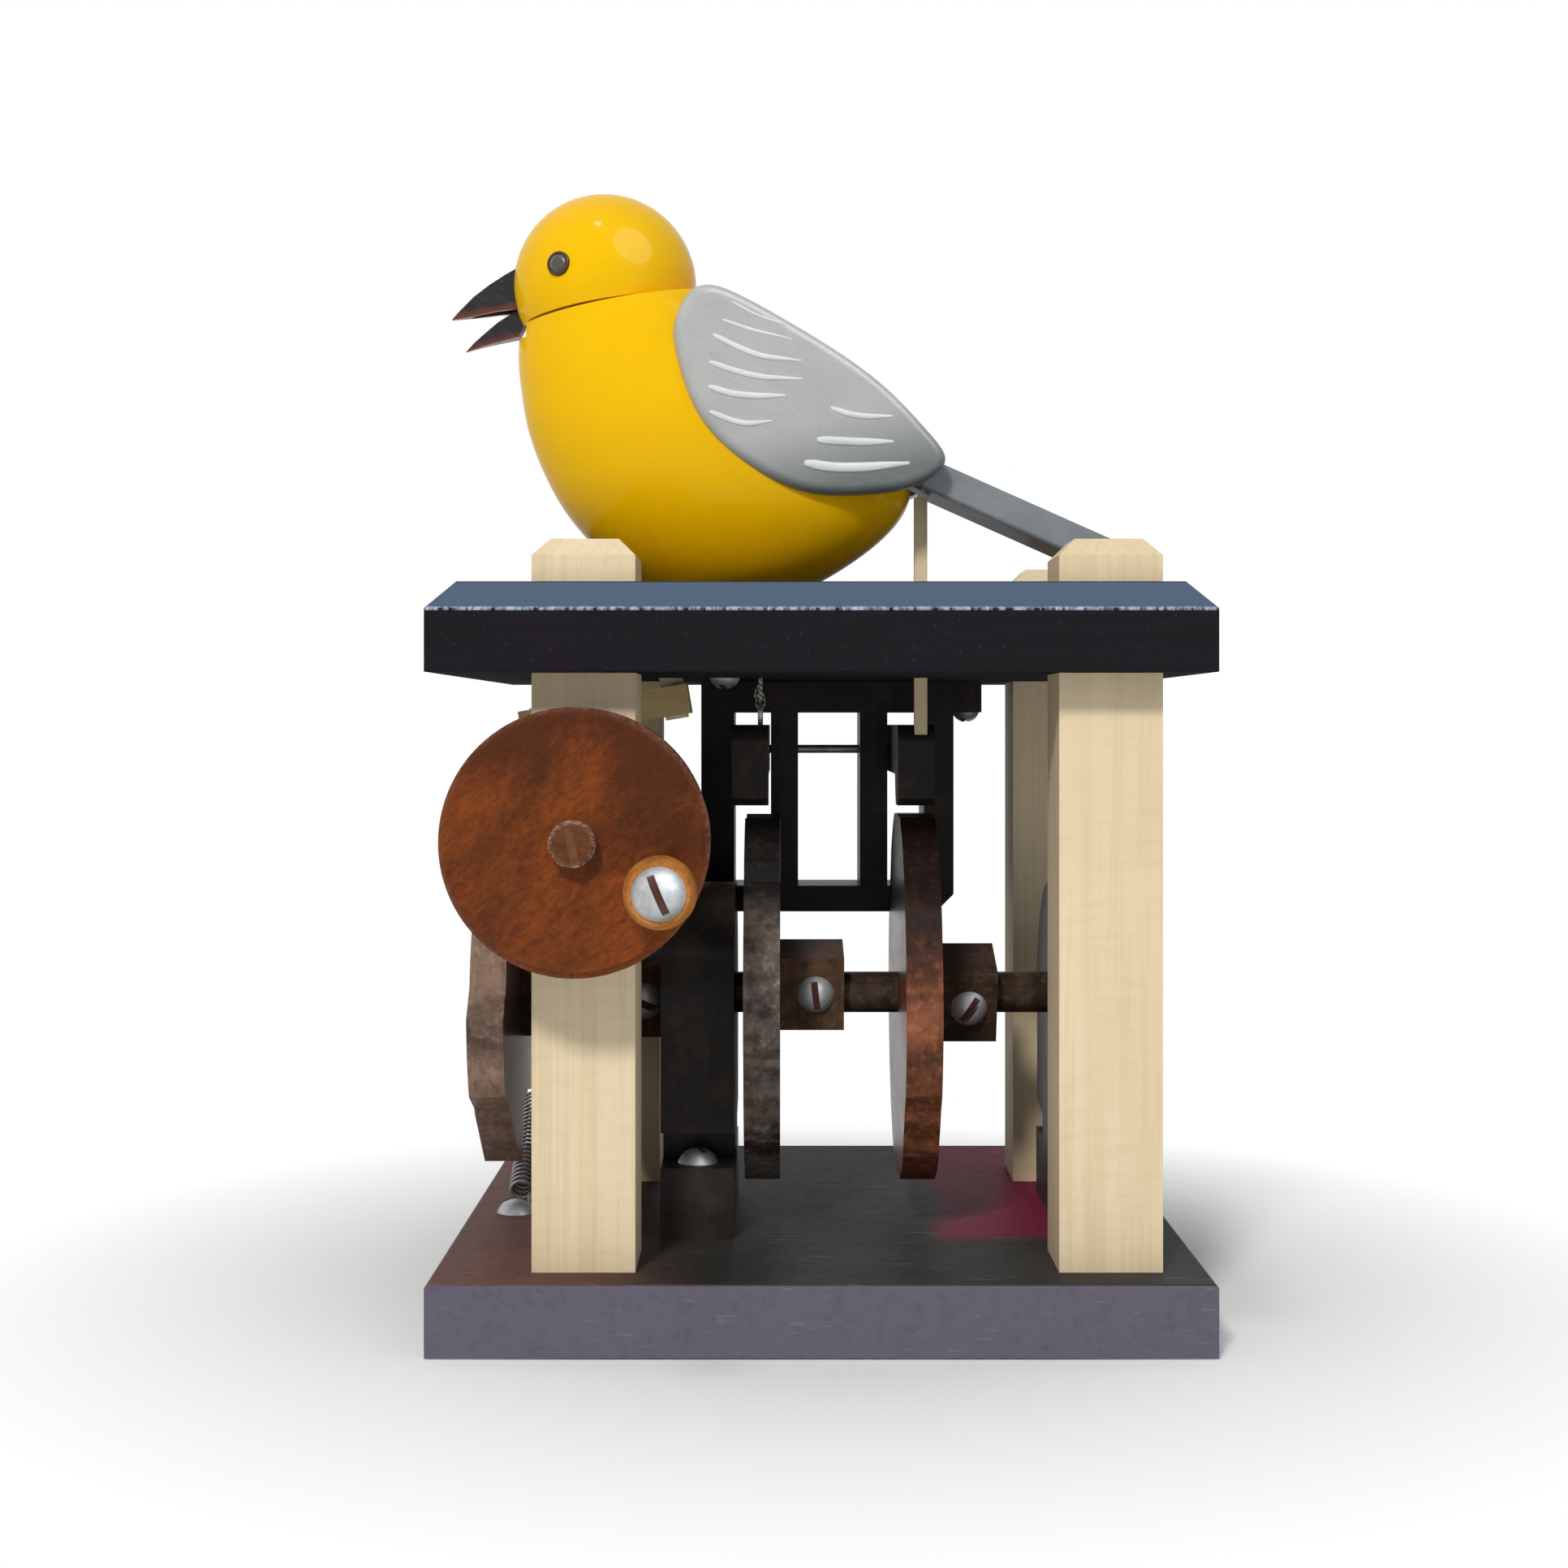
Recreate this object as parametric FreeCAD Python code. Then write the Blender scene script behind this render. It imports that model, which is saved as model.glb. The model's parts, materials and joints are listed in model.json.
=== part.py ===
import FreeCAD, Part
import math
import os
from FreeCAD import Vector

# Wooden crank automaton: a songbird on a two-plate stand. A hand crank turns a worm, the worm turns
# a camshaft, and three cams move the lower beak, the tail and the head.
# Millimetres. Origin: centre of the base plate's underside. +X is the tail side, the bird faces -X,
# +Y is the rear (the crank is at the front), +Z is up.

# ---------------------------------------------------------------- driving dimensions
PLATE_X = 120.0
PLATE_Y = 118.0
BASE_T = 11.1
TOP_UNDER = 103.6
TOP_T = 13.9
TOP_CHAMFER = 4.3
ARRIS = 0.5

POST = 16.0
POST_TOP = 124.5
POST_CHAMFER = 2.7
POST_LEFT_X = -36.6
POST_RIGHT_X = 44.8
POST_FRONT_Y = -43.0
POST_REAR_Y = 29.6
POST_SCREW_LEN = 24.0
POST_SCREW_SINK = 3.2

RUN = 0.06
SEAT = 0.3
SIDE_PLAY = 0.25
SNUG = 0.02
BEYOND = 300.0
TOUCH = 0.01

CAMSHAFT_Y = -6.9
CAMSHAFT_Z = 49.4
CAMSHAFT_R = 3.5
CAMSHAFT_X0 = -59.0
CAMSHAFT_X1 = 50.4

CRANK_Z = 78.2
CRANK_R = 3.5
CRANK_PEG = 3.4
CRANK_DISC_R = 20.0
CRANK_DISC_T = 6.0
CRANK_DISC_EDGE = 1.0
CRANK_HUB_W = 12.6
CRANK_HUB_LEN = 11.0
CRANK_END_GAP = 0.6
CRANK_TAIL = 2.0
CRANK_COLLAR_R = 6.5
CRANK_COLLAR_LEN = 5.0
CRANK_DISC_GRIP = 0.6
WEDGE_W = 1.2
WEDGE_TURN = -12.0

KNOB_OFFSET_X = 13.2
KNOB_OFFSET_Z = -6.6
KNOB_R = 5.3
KNOB_LEN = 12.0
KNOB_WAIST = 0.7
KNOB_ROUND = 0.9
KNOB_GAP = 0.5
KNOB_SCREW_GRIP = 0.8

WORM_PITCH = 8.0
WORM_CORE_R = 4.45
WORM_OUTER_R = 11.3
WORM_LEN = 22.0
WORM_ROOT_W = 2.4
WORM_CREST_W = 1.5
WORM_PHASE = 270.0
WORM_STEPS = 4
WHEEL_PINS = 16
WHEEL_PIN_R = 1.2
WHEEL_PIN_TIP_R = 23.6
WHEEL_PIN_ROOT_R = 11.0
WHEEL_PIN_BEVEL = 0.4
WHEEL_RIM_R = 16.8
WHEEL_T = 6.0
WHEEL_HUB_LEN = 7.0

HUB_W = 12.6
HUB_LEN = 10.9
BEAK_HUB_TURN = 10.0
BEAK_HUB_RISE = 1.4
TAIL_HUB_TURN = 20.0
HEAD_HUB_TURN = -20.0
WHEEL_HUB_TURN = 8.0
SET_SCREW_SHIFT = 0.6

CAM_T = 5.9
BEAK_CAM_X = -12.2
TAIL_CAM_X = 13.9
HEAD_CAM_X = -56.6
CAM_GAP = 0.35

UPRIGHT_T = 12.1
UPRIGHT_R = 19.0
UPRIGHT_LEFT_X = -26.0
UPRIGHT_RIGHT_X = 40.2
FOOT_H = 11.6
FOOT_STEP = 1.4
NOTCH_DEPTH = 10.2
NOTCH_H_IN = 4.0
NOTCH_H_OUT = 5.8

FRAME_FRONT_Y = 23.4
FRAME_DEPTH = 16.6
FRAME_RAIL_Z = 97.9
FRAME_FOOT_Z = 60.9
FRAME_FOOT_H = 4.8
FRAME_LEFT_X = -21.0
FRAME_RIGHT_X = 25.9
FRAME_TAB_X = 31.1
FRAME_TAB_DEPTH = 12.0
FRAME_CORNER = 3.2
TAB_SCREW_SHIFT = 0.1
WINDOW_X0 = -3.0
WINDOW_X1 = 8.5

LEVER_T = 6.3
LEVER_TOP_Z = 95.6
LEVER_BAR_H = 8.6
LEVER_FRONT_Y = -11.6
LEVER_NOSE_LEN = 9.4
LEVER_NOSE_EDGE = 1.2
LEVER_NOSE_HEEL = 1.5
LEVER_TAIL = 5.0
LEVER_ROUND = 3.0
BEAK_LEVER_X = -11.45
TAIL_LEVER_X = 17.0
PIVOT_Y = 34.0
PIVOT_BELOW = 4.6
PIVOT_Z = LEVER_TOP_Z - PIVOT_BELOW
PIVOT_R = 0.8
BEAK_LEVER_DROP = 2.1
TAIL_LEVER_DROP = 1.05

ROD_W = 2.2
ROD_X = 17.8
ROD_Y = -10.0
ROD_SLOT_DEPTH = 1.7
ROD_FOOT_Z = LEVER_TOP_Z - ROD_SLOT_DEPTH
ROD_PLAY = 0.5

BIRD_Y = -10.0
HEAD_R = 15.6
HEAD_X = -36.3
HEAD_Z = 170.7
NECK_TILT = 9.5
NECK_BELOW = 4.6
NECK_GAP = 0.4
DOWEL_R = 2.0
DOWEL_RISE = 5.0
DOWEL_TIP = 0.6
ARM_CLEAR = 0.6
ARM_T = 5.0
ARM_W = 8.6
ARM_LEN = 26.4
ARM_HEEL = 2.6

EYE_R = 2.05
EYE_OFFSET_X = -6.7
EYE_OFFSET_Z = 1.3
EYE_PROUD = 0.7
EYE_DEPTH = 2.0
EYE_ROUND = 0.63

JAW_BEFORE = 11.9
JAW_BELOW = 3.5
JAW_SWING = 19.0
JAW_W = 3.6
JAW_PIN_R = 0.8
JAW_PIN_REACH = 3.0
JAW_EYE_R = 1.7
JAW_ARM = 6.6
JAW_ARM_RISE = 1.5
JAW_ARM_T = 2.0
JAW_CLEAR = 0.5
JAW_GROOVE = 0.3
JAW_RELIEF_SIDE = 4.6
JAW_RELIEF_BACK = -0.8
JAW_RELIEF_FLOOR = -6.0
BEAK_W = 6.4
BEAK_TIP_W = 0.7
BEAK_ROOT_LEN = 1.5
BEAK_SEAT = 0.9

TAIL_PIVOT_X = 8.0
TAIL_SLOPE = 24.0
TAIL_T = 5.1
TAIL_W = 16.0
TAIL_TOP_X = 21.7
TAIL_TOP_Z = 139.2
TAIL_END_X = 50.0
TAIL_ROOT_X = 18.6
TAIL_BEVEL = 0.6
TAIL_ROOT_GAP = 0.6
TONGUE_W = 7.0
TONGUE_R = 2.5
TONGUE_CLEAR = 0.4
TAIL_PIN_R = 1.0
TAIL_PIN_REACH = 4.5

WING_T = 4.4
WING_ROUND = 1.7
WING_TOE = 10.8
WING_HINGE_X = -22.0
WING_OFFSET = 18.0

ROCKER_X = -56.3
ROCKER_T = 5.4
ROCKER_W = 6.4
ROCKER_PIVOT_Z = 56.0
ROCKER_NOSE_R = 5.0
ROCKER_NOSE_Z = 32.8
ROCKER_BOSS_R = 5.0
ROCKER_SCREW_R = 3.0
ROCKER_SCREW_LEN = 16.0
SPACER_R = 4.0
LINK_R = 0.75
LINK_X = -48.6
LINK_PLAY = 1.1
LINK_BELOW = 1.6
LINK_TIP = 0.25
LINK_BEND = 2.0
LINK_INSET = 1.0

THREAD_R = 0.35
THREAD_X = -9.7
THREAD_Y = -8.0
THREAD_EYE_R = 1.5
THREAD_WIRE_R = 0.45
THREAD_EYE_SHANK = 6.0
THREAD_TOP_Z = 128.0
THREAD_RUN_OUT = 0.6
THREAD_EXIT_X = -5.0
THREAD_EXIT_Y = 6.0

SCREW_SLOT_W = 1.1
SCREW_SLOT_D = 0.7
SET_SCREW_R = 3.15
KNOB_SCREW_R = 3.95
FOOT_SCREW_R = 3.4
FOOT_SCREW_BITE = 0.7
POST_SCREW_R = 3.4
SPRING_SCREW_LEN = 8.0
BIRD_SCREW_R = 2.6
BIRD_SCREW_X = -15.8
BIRD_SCREW_BITE = 9.0
TAB_SCREW_R = 2.5
TAB_SCREW_BITE = 0.6
SHANK = 0.42
DOME = 0.72
# How far each screw's slot is turned, in degrees.
BEAK_HUB_SLOT = 7.0
TAIL_HUB_SLOT = -35.0
HEAD_HUB_SLOT = 50.0
WHEEL_HUB_SLOT = 65.0
KNOB_SLOT = 23.0
FOOT_SLOT = 35.0
TAB_SLOT = 30.0
BIRD_SLOT = 20.0
ROCKER_SLOT = 15.0
SPRING_SLOT = 90.0

SPRING_R = 1.75
SPRING_WIRE_R = 0.3
SPRING_PITCH = 1.05
SPRING_FOOT_X = -52.0
SPRING_FOOT_Y = -5.5
SPRING_HOOK_R = 6.9
SPRING_HOOK_ANGLE = 250.0

BEAK_CAM_R = 32.0
TAIL_CAM_R = 32.0
HEAD_CAM_R = 30.0
HEAD_DIP = 26.2
HEAD_NOTCH = 19.5
BEAK_FLAT_LONG = 1.6
BEAK_FLAT_SHORT = 1.2
BEAK_STEP_DEEP = 1.1
BEAK_STEP_SHALLOW = 0.3
TAIL_FLAT = 0.5
HEAD_FLAT = 1.2
BEAK_VALLEY = BEAK_CAM_R - BEAK_LEVER_DROP
BEAK_CAM_LANDS = [
    (-62, -14, BEAK_CAM_R),
    (-6, 26, BEAK_CAM_R - BEAK_FLAT_LONG),
    (34, 72, BEAK_CAM_R),
    (81, 99, BEAK_VALLEY),
    (108, 132, BEAK_CAM_R),
    (138, 153, BEAK_CAM_R - BEAK_FLAT_SHORT),
    (159, 190, BEAK_CAM_R),
    (194, 201, BEAK_CAM_R - BEAK_STEP_DEEP),
    (206, 214, BEAK_CAM_R - BEAK_STEP_SHALLOW),
    (219, 252, BEAK_CAM_R),
    (261, 279, BEAK_VALLEY),
    (288, 291, BEAK_CAM_R),
]
TAIL_VALLEY = TAIL_CAM_R - TAIL_LEVER_DROP
TAIL_CAM_LANDS = [
    (-66, 20, TAIL_CAM_R),
    (28, 40, TAIL_VALLEY),
    (47, 73, TAIL_CAM_R),
    (80, 100, TAIL_VALLEY),
    (107, 153, TAIL_CAM_R),
    (160, 176, TAIL_CAM_R - TAIL_FLAT),
    (178, 205, TAIL_CAM_R),
    (212, 224, TAIL_VALLEY),
    (231, 253, TAIL_CAM_R),
    (260, 280, TAIL_VALLEY),
    (287, 290, TAIL_CAM_R),
]
HEAD_CAM_LANDS = [
    (10, 116, HEAD_CAM_R),
    (127, 172, HEAD_DIP),
    (182, 208, HEAD_CAM_R),
    (220, 225, HEAD_DIP),
    (258, 269, HEAD_CAM_R - HEAD_FLAT),
    (271, 332, HEAD_NOTCH),
    (344, 354, HEAD_DIP),
]

BODY_SECTIONS = [
    # rise over the top plate, front X, back X, half width
    (0.0, -30.3, -5.0, 7.5),
    (1.7, -30.6, -1.0, 10.2),
    (4.7, -34.0, 4.3, 13.2),
    (10.5, -39.9, 11.9, 16.2),
    (16.1, -44.1, 15.7, 18.0),
    (21.7, -47.0, 16.6, 19.2),
    (27.3, -49.1, 15.4, 19.8),
    (32.8, -50.3, 11.6, 19.6),
    (38.4, -51.0, 6.0, 18.8),
    (44.0, -51.0, -1.5, 17.4),
    (48.5, -50.6, -9.5, 16.0),
    (52.5, -49.0, -18.0, 14.2),
]

WING_OUTLINE = [
    (-22.6, 164.6), (-19.8, 167.2), (-12.6, 165.6), (-4.4, 161.4), (10.6, 151.9), (18.9, 143.8),
    (21.4, 139.4), (18.6, 136.4), (8.8, 133.8), (-2.4, 133.9), (-12.2, 138.4), (-19.6, 145.6),
    (-23.4, 155.8),
]

# Beak outlines seen from the side, as (X, Z) from the head's centre and from the jaw's hinge.
UPPER_BEAK = [
    (-13.9, 3.1), (-16.8, 1.65), (-19.6, 0.05), (-22.4, -1.9), (-25.2, -4.5), (-26.3, -5.7),
    (-22.4, -5.2), (-18.2, -4.5), (-13.7, -4.1),
]
JAW_BLADE = [
    (-1.9, -0.5), (-3.2, -0.95), (-4.9, -1.85), (-6.3, -2.7), (-7.7, -3.8), (-9.1, -4.95), (-10.5, -6.15),
    (-12.0, -7.7), (-9.1, -6.8), (-6.3, -6.1), (-2.8, -5.3), (-1.5, -2.8),
]
JAW_SHANK = [(-2.1, -1.1), (-1.6, -2.8)]
JAW_SLOT = [(-2.4, 1.2), (-1.0, 2.2)]

os.makedirs("parts", exist_ok=True)

X = Vector(1, 0, 0)
Y = Vector(0, 1, 0)
Z = Vector(0, 0, 1)


# ---------------------------------------------------------------- helpers
def save(node, *solids):
    """Write one node: a single solid, or a group of separate solids."""
    shape = solids[0] if len(solids) == 1 else Part.makeCompound(list(solids))
    shape.exportStep("parts/" + node + ".step")


def block(x0, x1, y0, y1, z0, z1):
    return Part.makeBox(x1 - x0, y1 - y0, z1 - z0, Vector(x0, y0, z0))


def rod(radius, start, end):
    return Part.makeCylinder(radius, (end - start).Length, start, end - start)


def turned(shape, centre, axis, degrees):
    copy = shape.copy()
    copy.rotate(centre, axis, degrees)
    return copy


def moved(shape, offset):
    copy = shape.copy()
    copy.translate(offset)
    return copy


def mirrored(shape, point, normal):
    return shape.mirror(point, normal)


def side_plate(points, x0, thickness):
    """A flat piece whose outline lies in a YZ plane."""
    corners = [Vector(x0, y, z) for y, z in points]
    outline = Part.makePolygon(corners + corners[:1])
    return Part.Face(outline).extrude(Vector(thickness, 0, 0))


def front_plate(points, y0, thickness):
    """A flat piece whose outline lies in an XZ plane."""
    corners = [Vector(x, y0, z) for x, z in points]
    outline = Part.makePolygon(corners + corners[:1])
    return Part.Face(outline).extrude(Vector(0, thickness, 0))


def round_screw(head_r, seat, direction, length, slot_turn=0.0):
    """Round-head slotted wood screw. The head's flat side is at seat, the shank runs along direction."""
    along = Vector(direction).normalize()
    rise = head_r * DOME
    ball_r = (head_r ** 2 + rise ** 2) / (2 * rise)
    head = Part.makeSphere(ball_r, Vector(0, 0, rise - ball_r))
    head = head.common(Part.makeCylinder(head_r, rise, Vector(0, 0, 0)))
    slot = Part.makeBox(SCREW_SLOT_W, 2 * head_r, SCREW_SLOT_D)
    slot.translate(Vector(-SCREW_SLOT_W / 2, -head_r, rise - SCREW_SLOT_D))
    slot.rotate(Vector(0, 0, 0), Z, slot_turn)
    shank = Part.makeCylinder(head_r * SHANK, length, Vector(0, 0, -length))
    screw = head.cut(slot).fuse(shank)
    screw.Placement = FreeCAD.Placement(Vector(seat), FreeCAD.Rotation(Z, -along))
    return screw


def screw_hole(head_r, seat, direction, length):
    """Pilot hole that the shank of round_screw fills."""
    return rod(head_r * SHANK + SNUG, seat, seat + Vector(direction).normalize() * (length + SEAT))


def edges_at(shape, *places):
    """Edges whose middle lies at each (axis, distance) given."""
    return [
        edge for edge in shape.Edges
        if all(abs(edge.CenterOfMass.dot(axis) - distance) < TOUCH for axis, distance in places)
    ]


def edges_round(shape, point):
    """Circular edges centred on a point."""
    return edges_at(shape, (X, point.x), (Y, point.y), (Z, point.z))


def at_pivot(outline, pivot):
    """Outline points given from a pivot, as (X, Z)."""
    return [(pivot.x + x, pivot.z + z) for x, z in outline]


def polar(centre_y, centre_z, radius, degrees):
    angle = math.radians(degrees)
    return Vector(0, centre_y + radius * math.cos(angle), centre_z + radius * math.sin(angle))


# ---------------------------------------------------------------- stand
TOP_Z = TOP_UNDER + TOP_T
POST_X = (POST_LEFT_X, POST_RIGHT_X)
POST_Y = (POST_FRONT_Y, POST_REAR_Y)
POST_PLACES = [(x, y) for x in POST_X for y in POST_Y]
POST_NAMES = ("post_front_left", "post_rear_left", "post_front_right", "post_rear_right")

NECK_AXIS = Vector(-math.sin(math.radians(NECK_TILT)), 0, math.cos(math.radians(NECK_TILT)))
HEAD_CENTRE = Vector(HEAD_X, BIRD_Y, HEAD_Z)
NECK_POINT = HEAD_CENTRE - NECK_AXIS * NECK_BELOW
ARM_CORNER = math.hypot(ARM_HEEL, ARM_W / 2)
ARM_Z = TOP_UNDER - ARM_CLEAR - ARM_T / 2 * NECK_AXIS.z + ARM_CORNER * NECK_AXIS.x
ARM_CENTRE = HEAD_CENTRE - NECK_AXIS * ((HEAD_Z - ARM_Z) / NECK_AXIS.z)
LINK_ARM = (LINK_X - ARM_CENTRE.x) / NECK_AXIS.z
ROCKER_TOP_Z = ARM_Z - LINK_ARM * NECK_AXIS.x - ARM_T / 2 / NECK_AXIS.z - LINK_BELOW

CRANK_X = POST_LEFT_X
POST_FRONT_FACE = POST_FRONT_Y - POST / 2
CRANK_HUB_Y = POST_FRONT_FACE - CRANK_END_GAP
CRANK_DISC_Y = CRANK_HUB_Y - CRANK_HUB_LEN
CRANK_FRONT_Y = CRANK_DISC_Y - CRANK_DISC_T
CRANK_SHAFT_Y0 = CRANK_FRONT_Y - CRANK_PEG
CRANK_SHAFT_Y1 = POST_REAR_Y + POST / 2 + CRANK_TAIL

CRANK_ENDS = (Vector(CRANK_X, CRANK_SHAFT_Y0, CRANK_Z), Vector(CRANK_X, CRANK_SHAFT_Y1, CRANK_Z))
crank_bore = rod(CRANK_R + RUN, *CRANK_ENDS)
FOOT_SCREW_LEN = FOOT_H + BASE_T * FOOT_SCREW_BITE
FOOT_SCREW_Y = UPRIGHT_R - NOTCH_DEPTH / 2 + FOOT_STEP / 2
foot_seats = [
    Vector(x + UPRIGHT_T / 2, CAMSHAFT_Y + side * FOOT_SCREW_Y, BASE_T + FOOT_H)
    for x in (UPRIGHT_LEFT_X, UPRIGHT_RIGHT_X)
    for side in (-1, 1)
]
spring_seat = Vector(SPRING_FOOT_X, SPRING_FOOT_Y, BASE_T)
BIRD_SCREW_SEAT = Vector(BIRD_SCREW_X, BIRD_Y, TOP_UNDER)
BIRD_SCREW_LEN = TOP_T + BIRD_SCREW_BITE
TAB_SCREW_SEAT = Vector(
    (FRAME_RIGHT_X + FRAME_TAB_X) / 2 + TAB_SCREW_SHIFT, FRAME_FRONT_Y + FRAME_TAB_DEPTH / 2, FRAME_RAIL_Z
)
TAB_SCREW_LEN = TOP_UNDER - FRAME_RAIL_Z + TOP_T * TAB_SCREW_BITE


def make_stand():
    base = block(-PLATE_X / 2, PLATE_X / 2, -PLATE_Y / 2, PLATE_Y / 2, 0, BASE_T)
    base = base.makeChamfer(ARRIS, edges_at(base, (Z, BASE_T)))
    screws = []
    for name, (x, y) in zip(POST_NAMES, POST_PLACES):
        post = block(x - POST / 2, x + POST / 2, y - POST / 2, y + POST / 2, BASE_T, POST_TOP)
        post = post.makeChamfer(POST_CHAMFER, edges_at(post, (Z, POST_TOP)))
        seat = Vector(x, y, POST_SCREW_SINK)
        post = post.cut(screw_hole(POST_SCREW_R, seat, Z, POST_SCREW_LEN))
        base = base.cut(screw_hole(POST_SCREW_R, seat, Z, POST_SCREW_LEN))
        base = base.cut(Part.makeCylinder(POST_SCREW_R + SEAT, POST_SCREW_SINK, Vector(x, y, 0)))
        screws.append(round_screw(POST_SCREW_R, seat, Z, POST_SCREW_LEN))
        if x == POST_LEFT_X:
            post = post.cut(crank_bore)
        if (x, y) == (POST_LEFT_X, POST_REAR_Y):
            post = post.cut(rocker_screw_hole())
        save(name, post)
    for seat in foot_seats:
        base = base.cut(screw_hole(FOOT_SCREW_R, seat, -Z, FOOT_SCREW_LEN))
    base = base.cut(screw_hole(FOOT_SCREW_R, spring_seat, -Z, SPRING_SCREW_LEN))
    save("base_plate", base)
    save("post_screws", *screws)

    top = block(-PLATE_X / 2, PLATE_X / 2, -PLATE_Y / 2, PLATE_Y / 2, TOP_UNDER, TOP_Z)
    top = top.makeChamfer(TOP_CHAMFER, edges_at(top, (Z, TOP_Z)))
    half = POST / 2 + SNUG
    for x, y in POST_PLACES:
        top = top.cut(block(x - half, x + half, y - half, y + half, TOP_UNDER, TOP_Z))
    top = top.cut(rod(DOWEL_R + RUN, ARM_CENTRE, NECK_POINT))
    rod_half = ROD_W / 2 + ROD_PLAY
    top = top.cut(block(
        ROD_X - rod_half, ROD_X + rod_half, ROD_Y - rod_half, ROD_Y + rod_half, TOP_UNDER, TOP_Z
    ))
    thread_foot = Vector(THREAD_X, THREAD_Y, TOP_UNDER)
    thread_hole = rod(THREAD_R + ROD_PLAY, thread_foot, thread_foot + Z * TOP_T)
    top = top.cut(thread_hole)
    top = top.cut(screw_hole(BIRD_SCREW_R, BIRD_SCREW_SEAT, Z, BIRD_SCREW_LEN))
    top = top.cut(screw_hole(TAB_SCREW_R, TAB_SCREW_SEAT, Z, TAB_SCREW_LEN))
    save("top_plate", top)


# ---------------------------------------------------------------- camshaft uprights
shaft_bore = rod(
    CAMSHAFT_R + RUN,
    Vector(CAMSHAFT_X0, CAMSHAFT_Y, CAMSHAFT_Z),
    Vector(CAMSHAFT_X1 + SEAT, CAMSHAFT_Y, CAMSHAFT_Z),
)


def upright(x0):
    """Round-topped board on edge. Each lower corner is notched over its foot to take the foot screw."""
    outer = UPRIGHT_R + FOOT_STEP
    board = block(x0, x0 + UPRIGHT_T, CAMSHAFT_Y - UPRIGHT_R, CAMSHAFT_Y + UPRIGHT_R, BASE_T, CAMSHAFT_Z)
    crown = Part.makeCylinder(UPRIGHT_R, UPRIGHT_T, Vector(x0, CAMSHAFT_Y, CAMSHAFT_Z), X)
    foot = block(x0, x0 + UPRIGHT_T, CAMSHAFT_Y - outer, CAMSHAFT_Y + outer, BASE_T, BASE_T + FOOT_H)
    solid = board.fuse([crown, foot]).removeSplitter()
    floor = BASE_T + FOOT_H
    inner = outer - NOTCH_DEPTH
    for side in (-1, 1):
        notch = [
            (CAMSHAFT_Y + side * inner, floor),
            (CAMSHAFT_Y + side * outer, floor),
            (CAMSHAFT_Y + side * outer, floor + NOTCH_H_OUT),
            (CAMSHAFT_Y + side * inner, floor + NOTCH_H_IN),
        ]
        solid = solid.cut(side_plate(notch, x0, UPRIGHT_T))
    for seat in foot_seats:
        if x0 < seat.x < x0 + UPRIGHT_T:
            solid = solid.cut(screw_hole(FOOT_SCREW_R, seat, -Z, FOOT_SCREW_LEN))
    return solid.cut(shaft_bore)


def make_uprights():
    save("upright_left", upright(UPRIGHT_LEFT_X))
    save("upright_right", upright(UPRIGHT_RIGHT_X))
    screws = [round_screw(FOOT_SCREW_R, seat, -Z, FOOT_SCREW_LEN, FOOT_SLOT) for seat in foot_seats]
    save("foot_screws", *screws)


# ---------------------------------------------------------------- camshaft, cams, pin wheel
SHAFT_CENTRE = Vector(0, CAMSHAFT_Y, CAMSHAFT_Z)


def cam_point(radius, degrees, x):
    point = polar(CAMSHAFT_Y, CAMSHAFT_Z, radius, degrees)
    return Vector(x, point.y, point.z)


def cam_disc(x0, lands):
    """Cam from its lands. Each land is (start angle, end angle, radius); straight ramps join them.
    Angles run from +Y towards +Z."""
    edges = []
    for index, (start, end, radius) in enumerate(lands):
        middle = cam_point(radius, (start + end) / 2, x0)
        first = cam_point(radius, start, x0)
        last = cam_point(radius, end, x0)
        edges.append(Part.Arc(first, middle, last).toShape())
        next_start, _, next_radius = lands[(index + 1) % len(lands)]
        edges.append(Part.LineSegment(last, cam_point(next_radius, next_start, x0)).toShape())
    face = Part.Face(Part.Wire(edges))
    return face.extrude(Vector(CAM_T, 0, 0)).cut(shaft_snug)


shaft_snug = rod(
    CAMSHAFT_R + SNUG,
    Vector(CAMSHAFT_X0 - BEYOND, CAMSHAFT_Y, CAMSHAFT_Z),
    Vector(CAMSHAFT_X1 + BEYOND, CAMSHAFT_Y, CAMSHAFT_Z),
)


def hub(x0, length, turn, rise, slot_turn):
    """Square hub block with its set screw. The shaft's bore is rise below the block's middle."""
    half = HUB_W / 2
    middle_z = CAMSHAFT_Z + rise
    body = block(x0, x0 + length, CAMSHAFT_Y - half, CAMSHAFT_Y + half, middle_z - half, middle_z + half)
    body = body.cut(shaft_snug)
    seat = Vector(x0 + length / 2 + SET_SCREW_SHIFT, CAMSHAFT_Y - half, middle_z)
    screw_len = half - CAMSHAFT_R - SNUG
    body = body.cut(rod(SET_SCREW_R * SHANK + SNUG, seat, seat + Y * screw_len))
    screw = round_screw(SET_SCREW_R, seat, Y, screw_len, slot_turn)
    return [turned(piece, SHAFT_CENTRE, X, turn) for piece in (body, screw)]


WHEEL_X = CRANK_X - WHEEL_T / 2
HEAD_HUB_LEN = WHEEL_X - CAM_GAP - (HEAD_CAM_X + CAM_T)


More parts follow.
